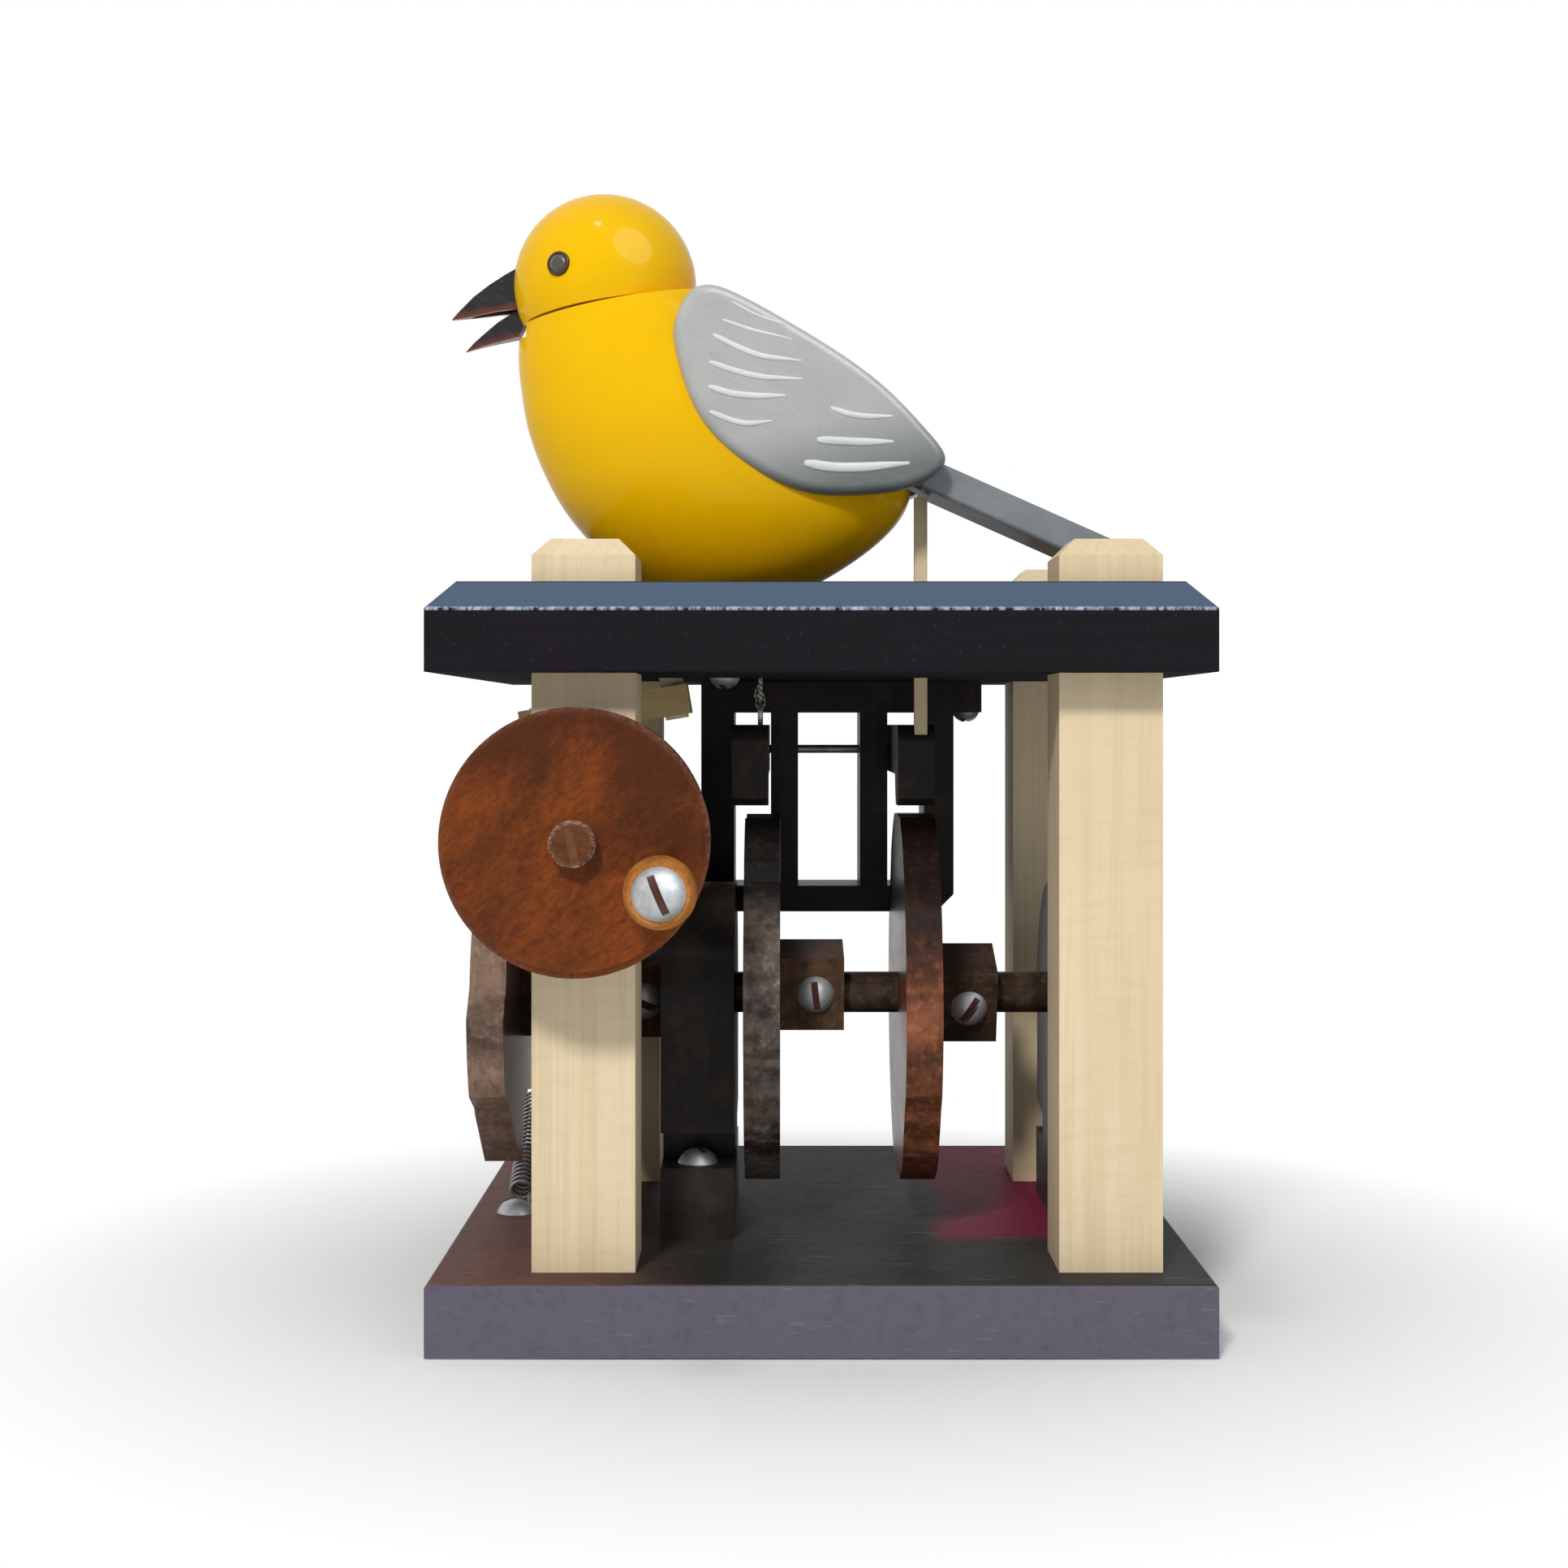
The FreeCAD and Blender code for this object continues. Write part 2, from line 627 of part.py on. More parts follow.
def make_camshaft():
    shaft = rod(
        CAMSHAFT_R,
        Vector(CAMSHAFT_X0, CAMSHAFT_Y, CAMSHAFT_Z),
        Vector(CAMSHAFT_X1, CAMSHAFT_Y, CAMSHAFT_Z),
    )
    ends = edges_at(shaft, (X, CAMSHAFT_X0)) + edges_at(shaft, (X, CAMSHAFT_X1))
    save("camshaft", shaft.makeChamfer(ARRIS, ends))
    save("beak_cam", cam_disc(BEAK_CAM_X, BEAK_CAM_LANDS))
    save("tail_cam", cam_disc(TAIL_CAM_X, TAIL_CAM_LANDS))
    save("head_cam", cam_disc(HEAD_CAM_X, HEAD_CAM_LANDS))
    screws = []
    hubs = (
        ("beak_cam_hub", BEAK_CAM_X + CAM_T, HUB_LEN, BEAK_HUB_TURN, BEAK_HUB_RISE, BEAK_HUB_SLOT),
        ("tail_cam_hub", TAIL_CAM_X + CAM_T, HUB_LEN, TAIL_HUB_TURN, 0.0, TAIL_HUB_SLOT),
        ("head_cam_hub", HEAD_CAM_X + CAM_T, HEAD_HUB_LEN, HEAD_HUB_TURN, 0.0, HEAD_HUB_SLOT),
        ("pin_wheel_hub", WHEEL_X + WHEEL_T, WHEEL_HUB_LEN, WHEEL_HUB_TURN, 0.0, WHEEL_HUB_SLOT),
    )
    for name, x0, length, turn, rise, slot_turn in hubs:
        body, screw = hub(x0, length, turn, rise, slot_turn)
        save(name, body)
        screws.append(screw)
    save("hub_set_screws", *screws)

    disc = Part.makeCylinder(WHEEL_RIM_R, WHEEL_T, SHAFT_CENTRE + X * WHEEL_X, X).cut(shaft_snug)
    pins = []
    for index in range(WHEEL_PINS):
        angle = 90.0 + 360.0 * index / WHEEL_PINS
        inner = cam_point(WHEEL_PIN_ROOT_R, angle, CRANK_X)
        outer = cam_point(WHEEL_PIN_TIP_R, angle, CRANK_X)
        pin = rod(WHEEL_PIN_R, inner, outer)
        pins.append(pin.makeChamfer(WHEEL_PIN_BEVEL, edges_round(pin, outer)))
        disc = disc.cut(rod(WHEEL_PIN_R + SNUG, inner, outer))
    save("pin_wheel", disc)
    save("wheel_pins", *pins)


# ---------------------------------------------------------------- crank, worm, knob
KNOB_CENTRE = Vector(CRANK_X + KNOB_OFFSET_X, CRANK_FRONT_Y, CRANK_Z + KNOB_OFFSET_Z)
KNOB_Y = CRANK_FRONT_Y - KNOB_GAP
KNOB_END_Y = KNOB_Y - KNOB_LEN
KNOB_SCREW_LEN = KNOB_LEN + KNOB_GAP + CRANK_DISC_T * KNOB_SCREW_GRIP
crank_snug = rod(CRANK_R + SNUG, *CRANK_ENDS)


def crank_point(y):
    return Vector(CRANK_X, y, CRANK_Z)


def worm_thread():
    """Right-handed ridge around +Z, turned as equal steps that meet end to end."""
    step = WORM_PITCH / WORM_STEPS
    root = WORM_ROOT_W / 2
    crest = WORM_CREST_W / 2
    inside = WORM_CORE_R / 2
    outline = [(inside, -root), (WORM_OUTER_R, -crest), (WORM_OUTER_R, crest), (inside, root)]
    corners = [Vector(radius, 0, height) for radius, height in outline]
    profile = Part.makePolygon(corners + corners[:1])
    path = Part.Wire(Part.makeHelix(WORM_PITCH, step, WORM_CORE_R))
    ridge = path.makePipeShell([profile], True, True)
    sleeve = Part.makeCylinder(WORM_OUTER_R + SEAT, WORM_LEN, Z * (-WORM_LEN / 2))
    sleeve = sleeve.cut(Part.makeCylinder(WORM_CORE_R, WORM_LEN, Z * (-WORM_LEN / 2)))
    reach = int(math.ceil(WORM_LEN / 2 / step)) + 1
    for index in range(-reach, reach):
        piece = turned(ridge, Vector(0, 0, 0), Z, 360.0 / WORM_STEPS * index)
        piece = moved(piece, Z * (step * index)).common(sleeve)
        for solid in piece.Solids:
            yield solid


def make_worm():
    """A thread ridge stands half a pitch either side of the pin below the core."""
    core = Part.makeCylinder(WORM_CORE_R, WORM_LEN, Z * (-WORM_LEN / 2))
    core = core.cut(Part.makeCylinder(CRANK_R + SNUG, WORM_LEN, Z * (-WORM_LEN / 2)))
    place = FreeCAD.Placement(Vector(CRANK_X, CAMSHAFT_Y, CRANK_Z), FreeCAD.Rotation(Z, Y))
    pieces = []
    for solid in [core, *worm_thread()]:
        solid = turned(solid, Vector(0, 0, 0), Z, WORM_PHASE)
        solid.Placement = place.multiply(solid.Placement)
        pieces.append(solid)
    return pieces


def make_crank():
    shaft = rod(CRANK_R, *CRANK_ENDS)
    shaft = shaft.makeChamfer(ARRIS, edges_round(shaft, CRANK_ENDS[0]) + edges_round(shaft, CRANK_ENDS[1]))
    wedge = block(
        CRANK_X - WEDGE_W / 2, CRANK_X + WEDGE_W / 2,
        CRANK_SHAFT_Y0, CRANK_FRONT_Y + CRANK_DISC_T * CRANK_DISC_GRIP,
        CRANK_Z - CRANK_R, CRANK_Z + CRANK_R,
    )
    wedge = turned(wedge, crank_point(CRANK_FRONT_Y), Y, WEDGE_TURN)
    wedge = wedge.common(rod(CRANK_R, crank_point(CRANK_SHAFT_Y0), crank_point(CRANK_DISC_Y)))
    save("crank_shaft", shaft.cut(wedge))
    save("crank_wedge", wedge)

    disc = Part.makeCylinder(CRANK_DISC_R, CRANK_DISC_T, crank_point(CRANK_FRONT_Y), Y)
    disc = disc.makeChamfer(CRANK_DISC_EDGE, edges_at(disc, (Y, CRANK_FRONT_Y)))
    knob_seat = Vector(KNOB_CENTRE.x, KNOB_END_Y, KNOB_CENTRE.z)
    disc = disc.cut(crank_snug).cut(screw_hole(KNOB_SCREW_R, knob_seat, Y, KNOB_SCREW_LEN))
    save("crank_disc", disc)
    half = CRANK_HUB_W / 2
    hub_block = block(
        CRANK_X - half, CRANK_X + half, CRANK_DISC_Y, CRANK_HUB_Y, CRANK_Z - half, CRANK_Z + half
    )
    save("crank_hub", hub_block.cut(crank_snug))
    collar_y = POST_FRONT_Y + POST / 2 + CRANK_END_GAP
    collar = Part.makeCylinder(CRANK_COLLAR_R, CRANK_COLLAR_LEN, crank_point(collar_y), Y)
    save("crank_collar", collar.cut(crank_snug))
    save("worm", *make_worm())

    knob_bore = rod(KNOB_SCREW_R * SHANK + RUN, knob_seat, KNOB_CENTRE)
    save("crank_knob", turned_knob().cut(knob_bore))
    head_seat = knob_seat - Y * RUN
    save("knob_screw", round_screw(KNOB_SCREW_R, head_seat, Y, KNOB_SCREW_LEN, KNOB_SLOT))


def turned_knob():
    """Lathe-turned grip: a slight waist behind a rounded end."""
    x = KNOB_CENTRE.x
    z = KNOB_CENTRE.z
    waist = KNOB_R - KNOB_WAIST
    side = Part.BSplineCurve()
    side.interpolate([
        Vector(x + KNOB_R - KNOB_ROUND, KNOB_Y, z),
        Vector(x + waist, KNOB_Y - KNOB_LEN * 0.35, z),
        Vector(x + KNOB_R, KNOB_Y - KNOB_LEN * 0.8, z),
        Vector(x + KNOB_R - KNOB_ROUND, KNOB_END_Y, z),
    ])
    start = Vector(x, KNOB_Y, z)
    end = Vector(x, KNOB_END_Y, z)
    edges = [
        Part.LineSegment(start, side.StartPoint).toShape(),
        side.toShape(),
        Part.LineSegment(side.EndPoint, end).toShape(),
        Part.LineSegment(end, start).toShape(),
    ]
    return Part.Face(Part.Wire(edges)).revolve(start, Y, 360)


# ---------------------------------------------------------------- hanging lever frame and levers
FRAME_REAR_Y = FRAME_FRONT_Y + FRAME_DEPTH
BEAK_SLOT = (BEAK_LEVER_X - LEVER_T / 2 - SIDE_PLAY, BEAK_LEVER_X + LEVER_T / 2 + SIDE_PLAY)
TAIL_SLOT = (TAIL_LEVER_X - LEVER_T / 2 - SIDE_PLAY, TAIL_LEVER_X + LEVER_T / 2 + SIDE_PLAY)


def pivot_bore(radius):
    return rod(radius, Vector(FRAME_LEFT_X, PIVOT_Y, PIVOT_Z), Vector(FRAME_RIGHT_X, PIVOT_Y, PIVOT_Z))


def make_lever_frame():
    rail = block(FRAME_LEFT_X, FRAME_RIGHT_X, FRAME_FRONT_Y, FRAME_REAR_Y, FRAME_RAIL_Z, TOP_UNDER)
    tab = block(
        FRAME_RIGHT_X, FRAME_TAB_X, FRAME_FRONT_Y, FRAME_FRONT_Y + FRAME_TAB_DEPTH, FRAME_RAIL_Z, TOP_UNDER
    )
    rail = rail.fuse(tab).removeSplitter()
    save("lever_frame_top_rail", rail.cut(screw_hole(TAB_SCREW_R, TAB_SCREW_SEAT, Z, TAB_SCREW_LEN)))
    save("lever_frame_screw", round_screw(TAB_SCREW_R, TAB_SCREW_SEAT, Z, TAB_SCREW_LEN, TAB_SLOT))
    foot = block(
        FRAME_LEFT_X, FRAME_RIGHT_X, FRAME_FRONT_Y, FRAME_REAR_Y, FRAME_FOOT_Z, FRAME_FOOT_Z + FRAME_FOOT_H
    )
    corner = edges_at(foot, (X, FRAME_RIGHT_X), (Z, FRAME_FOOT_Z))
    save("lever_frame_bottom_rail", foot.makeChamfer(FRAME_CORNER, corner))
    cheeks = []
    spans = (
        (FRAME_LEFT_X, BEAK_SLOT[0]),
        (BEAK_SLOT[1], WINDOW_X0),
        (WINDOW_X1, TAIL_SLOT[0]),
        (TAIL_SLOT[1], FRAME_RIGHT_X),
    )
    for x0, x1 in spans:
        cheek = block(x0, x1, FRAME_FRONT_Y, FRAME_REAR_Y, FRAME_FOOT_Z + FRAME_FOOT_H, FRAME_RAIL_Z)
        cheeks.append(cheek.cut(pivot_bore(PIVOT_R + SNUG)))
    save("lever_frame_cheeks", *cheeks)
    save("lever_pivot_rod", pivot_bore(PIVOT_R))


def lever(centre_x, nose_radius):
    """Bar from the pivot to a nose that hangs over the camshaft."""
    nose_z = CAMSHAFT_Z + nose_radius + CAM_GAP
    bar_z = LEVER_TOP_Z - LEVER_BAR_H
    nose_end = LEVER_FRONT_Y + LEVER_NOSE_LEN
    profile = [
        (LEVER_FRONT_Y, nose_z + LEVER_NOSE_EDGE),
        (LEVER_FRONT_Y + LEVER_NOSE_EDGE, nose_z),
        (nose_end - LEVER_NOSE_HEEL, nose_z),
        (nose_end, nose_z + LEVER_NOSE_HEEL),
        (nose_end + LEVER_NOSE_HEEL, bar_z),
        (PIVOT_Y + LEVER_TAIL, bar_z),
        (PIVOT_Y + LEVER_TAIL, LEVER_TOP_Z),
        (LEVER_FRONT_Y, LEVER_TOP_Z),
    ]
    solid = side_plate(profile, centre_x - LEVER_T / 2, LEVER_T)
    solid = solid.makeFillet(LEVER_ROUND, edges_at(solid, (Y, LEVER_FRONT_Y), (Z, LEVER_TOP_Z)))
    return solid.cut(pivot_bore(PIVOT_R + RUN))


def make_levers():
    beak = lever(BEAK_LEVER_X, BEAK_CAM_R)
    eye_z = LEVER_TOP_Z + THREAD_EYE_R + THREAD_WIRE_R
    foot = Vector(THREAD_X, THREAD_Y, LEVER_TOP_Z - THREAD_EYE_SHANK)
    shank = rod(THREAD_WIRE_R, foot, Vector(THREAD_X, THREAD_Y, LEVER_TOP_Z + THREAD_WIRE_R))
    loop = Part.makeTorus(THREAD_EYE_R, THREAD_WIRE_R, Vector(THREAD_X, THREAD_Y, eye_z), X)
    screw_eye = shank.fuse(loop)
    save("beak_lever", beak.cut(shank))
    save("thread_screw_eye", screw_eye)
    half = ROD_W / 2 + SIDE_PLAY
    slot = block(
        ROD_X - half, ROD_X + half, LEVER_FRONT_Y, ROD_Y + half, ROD_FOOT_Z - SEAT, LEVER_TOP_Z
    )
    save("tail_lever", lever(TAIL_LEVER_X, TAIL_CAM_R).cut(slot))


# ---------------------------------------------------------------- bird body and wings
def body_blank():
    rings = []
    for rise, front, back, half_width in BODY_SECTIONS:
        along = (back - front) / 2
        centre = Vector((front + back) / 2, BIRD_Y, TOP_Z + rise)
        if along >= half_width:
            curve = Part.Ellipse(centre, along, half_width)
        else:
            curve = Part.Ellipse(centre + Y * half_width, centre + X * along, centre)
        rings.append(Part.Wire(curve.toShape()))
    return Part.makeLoft(rings, True)


def neck_half_space(offset, upper):
    """Large block above or below the neck's sloping cut."""
    slab = Part.makeBox(BEYOND, BEYOND, BEYOND, Vector(-BEYOND / 2, -BEYOND / 2, 0 if upper else -BEYOND))
    slab.rotate(Vector(0, 0, 0), Y, -NECK_TILT)
    return moved(slab, NECK_POINT + NECK_AXIS * offset)


def wing_slab(thickness):
    """The wing's outline, raised outwards from its flat inner face."""
    curve = Part.BSplineCurve()
    curve.interpolate([Vector(x, 0, z) for x, z in WING_OUTLINE], PeriodicFlag=True)
    return Part.Face(Part.Wire(curve.toShape())).extrude(Vector(0, -thickness, 0))


def toed_in(slab):
    """The two wings draw together towards the tail."""
    slab.rotate(Vector(WING_HINGE_X, 0, 0), Z, WING_TOE)
    return moved(slab, Vector(0, BIRD_Y - WING_OFFSET, 0))


def wing_front():
    slab = wing_slab(WING_T)
    return toed_in(slab.makeFillet(WING_ROUND, edges_at(slab, (Y, -WING_T))))


def wing_pocket():
    """Everything outside the wing's flat inner face, within its outline."""
    return toed_in(wing_slab(WING_T * 3))


TAIL_RISE = math.tan(math.radians(TAIL_SLOPE))


def tail_centre_z(x):
    """Height of the tail board's middle plane."""
    top = TAIL_TOP_Z - (x - TAIL_TOP_X) * TAIL_RISE
    return top - TAIL_T / 2 / math.cos(math.radians(TAIL_SLOPE))


TAIL_PIVOT = Vector(TAIL_PIVOT_X, BIRD_Y, tail_centre_z(TAIL_PIVOT_X))
ROD_TOP_Z = tail_centre_z(ROD_X + ROD_W / 2) - TAIL_T / 2 / math.cos(math.radians(TAIL_SLOPE)) - SEAT
TAIL_LEAN = math.radians(TAIL_SLOPE)
ROD_DROP = TAIL_LEVER_DROP * (PIVOT_Y - ROD_Y) / (PIVOT_Y - CAMSHAFT_Y)
ROD_REACH = ROD_X + ROD_W / 2 - TAIL_PIVOT_X + TAIL_T / 2 * math.sin(TAIL_LEAN)
TAIL_DROP = math.degrees(ROD_DROP * math.cos(TAIL_LEAN) ** 2 / ROD_REACH)


def tail_board():
    """Board with a narrow tongue at the hinge. Built along +X from the pivot, then sloped."""
    reach = (TAIL_END_X - TAIL_PIVOT_X) / math.cos(math.radians(TAIL_SLOPE))
    root = (TAIL_ROOT_X - TAIL_PIVOT_X) / math.cos(math.radians(TAIL_SLOPE))
    board = block(root, reach, -TAIL_W / 2, TAIL_W / 2, -TAIL_T / 2, TAIL_T / 2)
    board = board.makeChamfer(TAIL_BEVEL, edges_at(board, (X, reach)))
    tongue = block(0, root, -TONGUE_W / 2, TONGUE_W / 2, -TONGUE_R, TONGUE_R)
    knuckle = rod(TONGUE_R, Vector(0, -TONGUE_W / 2, 0), Vector(0, TONGUE_W / 2, 0))
    board = board.fuse([tongue, knuckle]).removeSplitter()
    board = board.cut(rod(TAIL_PIN_R + RUN, Vector(0, -TONGUE_W, 0), Vector(0, TONGUE_W, 0)))
    board.rotate(Vector(0, 0, 0), Y, TAIL_SLOPE)
    return moved(board, TAIL_PIVOT)


def tail_slot():
    """Space that the tongue and the board's root sweep."""
    clear = TONGUE_R + TONGUE_CLEAR
    half = TONGUE_W / 2 + SIDE_PLAY
    spaces = []
    for angle in (TAIL_SLOPE, TAIL_SLOPE + TAIL_DROP / 2, TAIL_SLOPE + TAIL_DROP):
        space = block(0, BEYOND, -half, half, -clear, clear)
        space = space.fuse(rod(clear, Vector(0, -half, 0), Vector(0, half, 0)))
        root = (TAIL_ROOT_X - TAIL_PIVOT_X) / math.cos(math.radians(TAIL_SLOPE)) - TAIL_ROOT_GAP
        wide = TAIL_W / 2 + SEAT
        thick = TAIL_T / 2 + SEAT
        space = space.fuse(block(root, BEYOND, -wide, wide, -thick, thick))
        space.rotate(Vector(0, 0, 0), Y, angle)
        spaces.append(moved(space, TAIL_PIVOT))
    return spaces


THREAD_BEND = Vector(THREAD_X, THREAD_Y, THREAD_TOP_Z)
THREAD_EXIT = NECK_POINT - NECK_AXIS * (NECK_GAP + THREAD_RUN_OUT) + Vector(THREAD_EXIT_X, THREAD_EXIT_Y, 0)
TAIL_PIN_HALF = TONGUE_W / 2 + TAIL_PIN_REACH


def make_bird_body():
    body = body_blank().cut(neck_half_space(-NECK_GAP, True))
    wing = wing_front()
    pocket = wing_pocket()
    centre = Vector(0, BIRD_Y, 0)
    body = body.cut(pocket).cut(mirrored(pocket, centre, Y))
    body = body.cut(rod(DOWEL_R + RUN, ARM_CENTRE, HEAD_CENTRE))
    for space in tail_slot():
        body = body.cut(space)
    pin_start = TAIL_PIVOT - Y * TAIL_PIN_HALF
    pin_end = TAIL_PIVOT + Y * TAIL_PIN_HALF
    body = body.cut(rod(TAIL_PIN_R + SNUG, pin_start, pin_end))
    body = body.cut(screw_hole(BIRD_SCREW_R, BIRD_SCREW_SEAT, Z, BIRD_SCREW_LEN))
    bore_r = THREAD_R + ROD_PLAY
    body = body.cut(rod(bore_r, Vector(THREAD_X, THREAD_Y, TOP_UNDER), THREAD_BEND + Z * THREAD_R))
    body = body.cut(rod(THREAD_R + SNUG, THREAD_BEND, THREAD_EXIT))
    body = body.cut(jaw_relief())
    save("bird_body", body)
    save("wing_front", wing)
    save("wing_rear", mirrored(wing, centre, Y))
    save("tail_hinge_pin", rod(TAIL_PIN_R, pin_start, pin_end))
    save("bird_mounting_screw", round_screw(BIRD_SCREW_R, BIRD_SCREW_SEAT, Z, BIRD_SCREW_LEN, BIRD_SLOT))
    save("beak_thread_upper", rod(THREAD_R, THREAD_BEND, THREAD_EXIT))
    save("tail_board", tail_board())
    tail_rod = block(
        ROD_X - ROD_W / 2, ROD_X + ROD_W / 2, ROD_Y - ROD_W / 2, ROD_Y + ROD_W / 2, ROD_FOOT_Z, ROD_TOP_Z
    )
    save("tail_push_rod", tail_rod)
    lower = Vector(THREAD_X, THREAD_Y, LEVER_TOP_Z + 2 * (THREAD_EYE_R + THREAD_WIRE_R) + RUN)
    save("beak_thread", rod(THREAD_R, lower, THREAD_BEND - Z * SEAT))


# ---------------------------------------------------------------- head, beak, jaw, neck
JAW_PIVOT = HEAD_CENTRE - Vector(JAW_BEFORE, 0, JAW_BELOW)


def beak_blade(outline, width):
    """Beak half: a plate narrowed to its tip in plan."""
    plate = front_plate(outline, BIRD_Y - width / 2, width)
    tip_x = min(x for x, _ in outline)
    root_x = max(x for x, _ in outline)
    shoulder_x = root_x - BEAK_ROOT_LEN
    half = width / 2
    tip = BEAK_TIP_W / 2
    sides = [
        (root_x, half), (shoulder_x, half), (tip_x, tip),
        (tip_x, -tip), (shoulder_x, -half), (root_x, -half),
    ]
    plan = [Vector(x, BIRD_Y + y, 0) for x, y in sides]
    wedge = Part.Face(Part.makePolygon(plan + plan[:1])).extrude(Z * BEYOND)
    return plate.common(wedge)


def jaw_solid():
    blade = beak_blade(at_pivot(JAW_BLADE, JAW_PIVOT), JAW_W)
    half = JAW_W / 2
    tall = JAW_ARM_T / 2
    root_top, root_bottom = JAW_SHANK
    arm = [
        root_top, (0, JAW_EYE_R), (JAW_ARM, JAW_ARM_RISE + tall),
        (JAW_ARM, JAW_ARM_RISE - tall), (0, -JAW_EYE_R), root_bottom,
    ]
    shank = front_plate(at_pivot(arm, JAW_PIVOT), BIRD_Y - half, JAW_W)
    boss = rod(JAW_EYE_R, JAW_PIVOT - Y * half, JAW_PIVOT + Y * half)
    solid = blade.fuse([shank, boss]).removeSplitter()
    return solid.cut(rod(JAW_PIN_R + RUN, JAW_PIVOT - Y * JAW_W, JAW_PIVOT + Y * JAW_W))


def jaw_slot():
    """Slot that the jaw's shank needs inside the head, through its whole swing."""
    half = JAW_W / 2 + SIDE_PLAY
    top = JAW_ARM_RISE + JAW_ARM_T / 2 + JAW_CLEAR
    rear = JAW_ARM + 3 * JAW_CLEAR
    front_top, eye_top = JAW_SLOT
    outline = [
        (-HEAD_R, front_top[1]), front_top, eye_top, (JAW_ARM, top),
        (rear, top), (rear, -HEAD_R), (-HEAD_R, -HEAD_R),
    ]
    return front_plate(at_pivot(outline, JAW_PIVOT), BIRD_Y - half, 2 * half)


def jaw_groove():
    """Groove under the upper beak that the closed lower beak enters."""
    swing = math.radians(JAW_SWING)
    closed = [
        (x * math.cos(swing) + z * math.sin(swing), z * math.cos(swing) - x * math.sin(swing))
        for x, z in JAW_BLADE
    ]
    outline = [(x, z + JAW_GROOVE) for x, z in closed]
    groove = beak_blade(at_pivot(outline, JAW_PIVOT), JAW_W + 2 * SIDE_PLAY)
    return groove.fuse(moved(groove, Z * (-JAW_GROOVE)))


def jaw_relief():
    """Shallow relief in the breast so the jaw can swing round with the head."""
    half = JAW_W / 2 + JAW_RELIEF_SIDE
    return block(
        JAW_PIVOT.x - HEAD_R, JAW_PIVOT.x + JAW_RELIEF_BACK, BIRD_Y - half, BIRD_Y + half,
        JAW_PIVOT.z + JAW_RELIEF_FLOOR, JAW_PIVOT.z,
    )


def make_head():
    head = Part.makeSphere(HEAD_R, HEAD_CENTRE)
    head = head.cut(neck_half_space(0.0, False))
    head = head.cut(jaw_slot())
    upper = beak_blade(at_pivot(UPPER_BEAK, HEAD_CENTRE), BEAK_W)
    upper = upper.cut(Part.makeSphere(HEAD_R - BEAK_SEAT, HEAD_CENTRE))
    head = head.cut(upper)
    upper = upper.cut(jaw_groove())
    pin_half = JAW_W / 2 + JAW_PIN_REACH
    pin = rod(JAW_PIN_R, JAW_PIVOT - Y * pin_half, JAW_PIVOT + Y * pin_half)
    head = head.cut(rod(JAW_PIN_R + SNUG, JAW_PIVOT - Y * pin_half, JAW_PIVOT + Y * pin_half))
    dowel_top = HEAD_CENTRE + NECK_AXIS * DOWEL_RISE
    head = head.cut(rod(DOWEL_R + SNUG, NECK_POINT - NECK_AXIS, dowel_top))
    eyes = []
    for side in (-1, 1):
        depth = math.sqrt(HEAD_R ** 2 - EYE_OFFSET_X ** 2 - EYE_OFFSET_Z ** 2)
        outward = Vector(EYE_OFFSET_X, side * depth, EYE_OFFSET_Z).normalize()
        surface = HEAD_CENTRE + outward * HEAD_R
        peg = rod(EYE_R, surface - outward * EYE_DEPTH, surface + outward * EYE_PROUD)
        head = head.cut(rod(EYE_R + SNUG, surface - outward * EYE_DEPTH, surface + outward * EYE_DEPTH))
        eyes.append(peg.makeFillet(EYE_ROUND, edges_round(peg, surface + outward * EYE_PROUD)))
    save("head", head)
    save("eyes", *eyes)
    save("beak_upper", upper)
    save("beak_lower", jaw_solid())
    save("jaw_hinge_pin", pin)
    save("neck_dowel", rod(DOWEL_R, ARM_CENTRE - NECK_AXIS * (ARM_T / 2 + DOWEL_TIP), dowel_top))
    arm = block(-ARM_LEN, ARM_HEEL, -ARM_W / 2, ARM_W / 2, -ARM_T / 2, ARM_T / 2)
    arm = arm.cut(rod(DOWEL_R + SNUG, Z * -ARM_T, Z * ARM_T))
    arm = arm.cut(rod(LINK_R + LINK_PLAY, X * LINK_ARM - Z * ARM_T, X * LINK_ARM + Z * ARM_T))
    arm.rotate(Vector(0, 0, 0), Y, -NECK_TILT)
    save("neck_arm", moved(arm, ARM_CENTRE))


# ---------------------------------------------------------------- head rocker, link and spring
ROCKER_PIVOT = Vector(ROCKER_X, POST_REAR_Y, ROCKER_PIVOT_Z)
NOSE_REACH = HEAD_CAM_R + CAM_GAP + ROCKER_NOSE_R
NOSE_DROP = CAMSHAFT_Z - ROCKER_NOSE_Z
NOSE_Y = CAMSHAFT_Y + math.sqrt(NOSE_REACH ** 2 - NOSE_DROP ** 2)


def rocker_screw_hole():
    seat = Vector(ROCKER_X - RUN, POST_REAR_Y, ROCKER_PIVOT_Z)
    return screw_hole(ROCKER_SCREW_R, seat, X, ROCKER_SCREW_LEN)


def bar_between(start, end, width):
    """Straight bar in a YZ plane between two points."""
    along = (end - start).normalize()
    across = Vector(0, -along.z, along.y) * (width / 2)
    corners = [start + across, end + across, end - across, start - across]
    return Part.Face(Part.makePolygon(corners + corners[:1])).extrude(Vector(ROCKER_T, 0, 0))


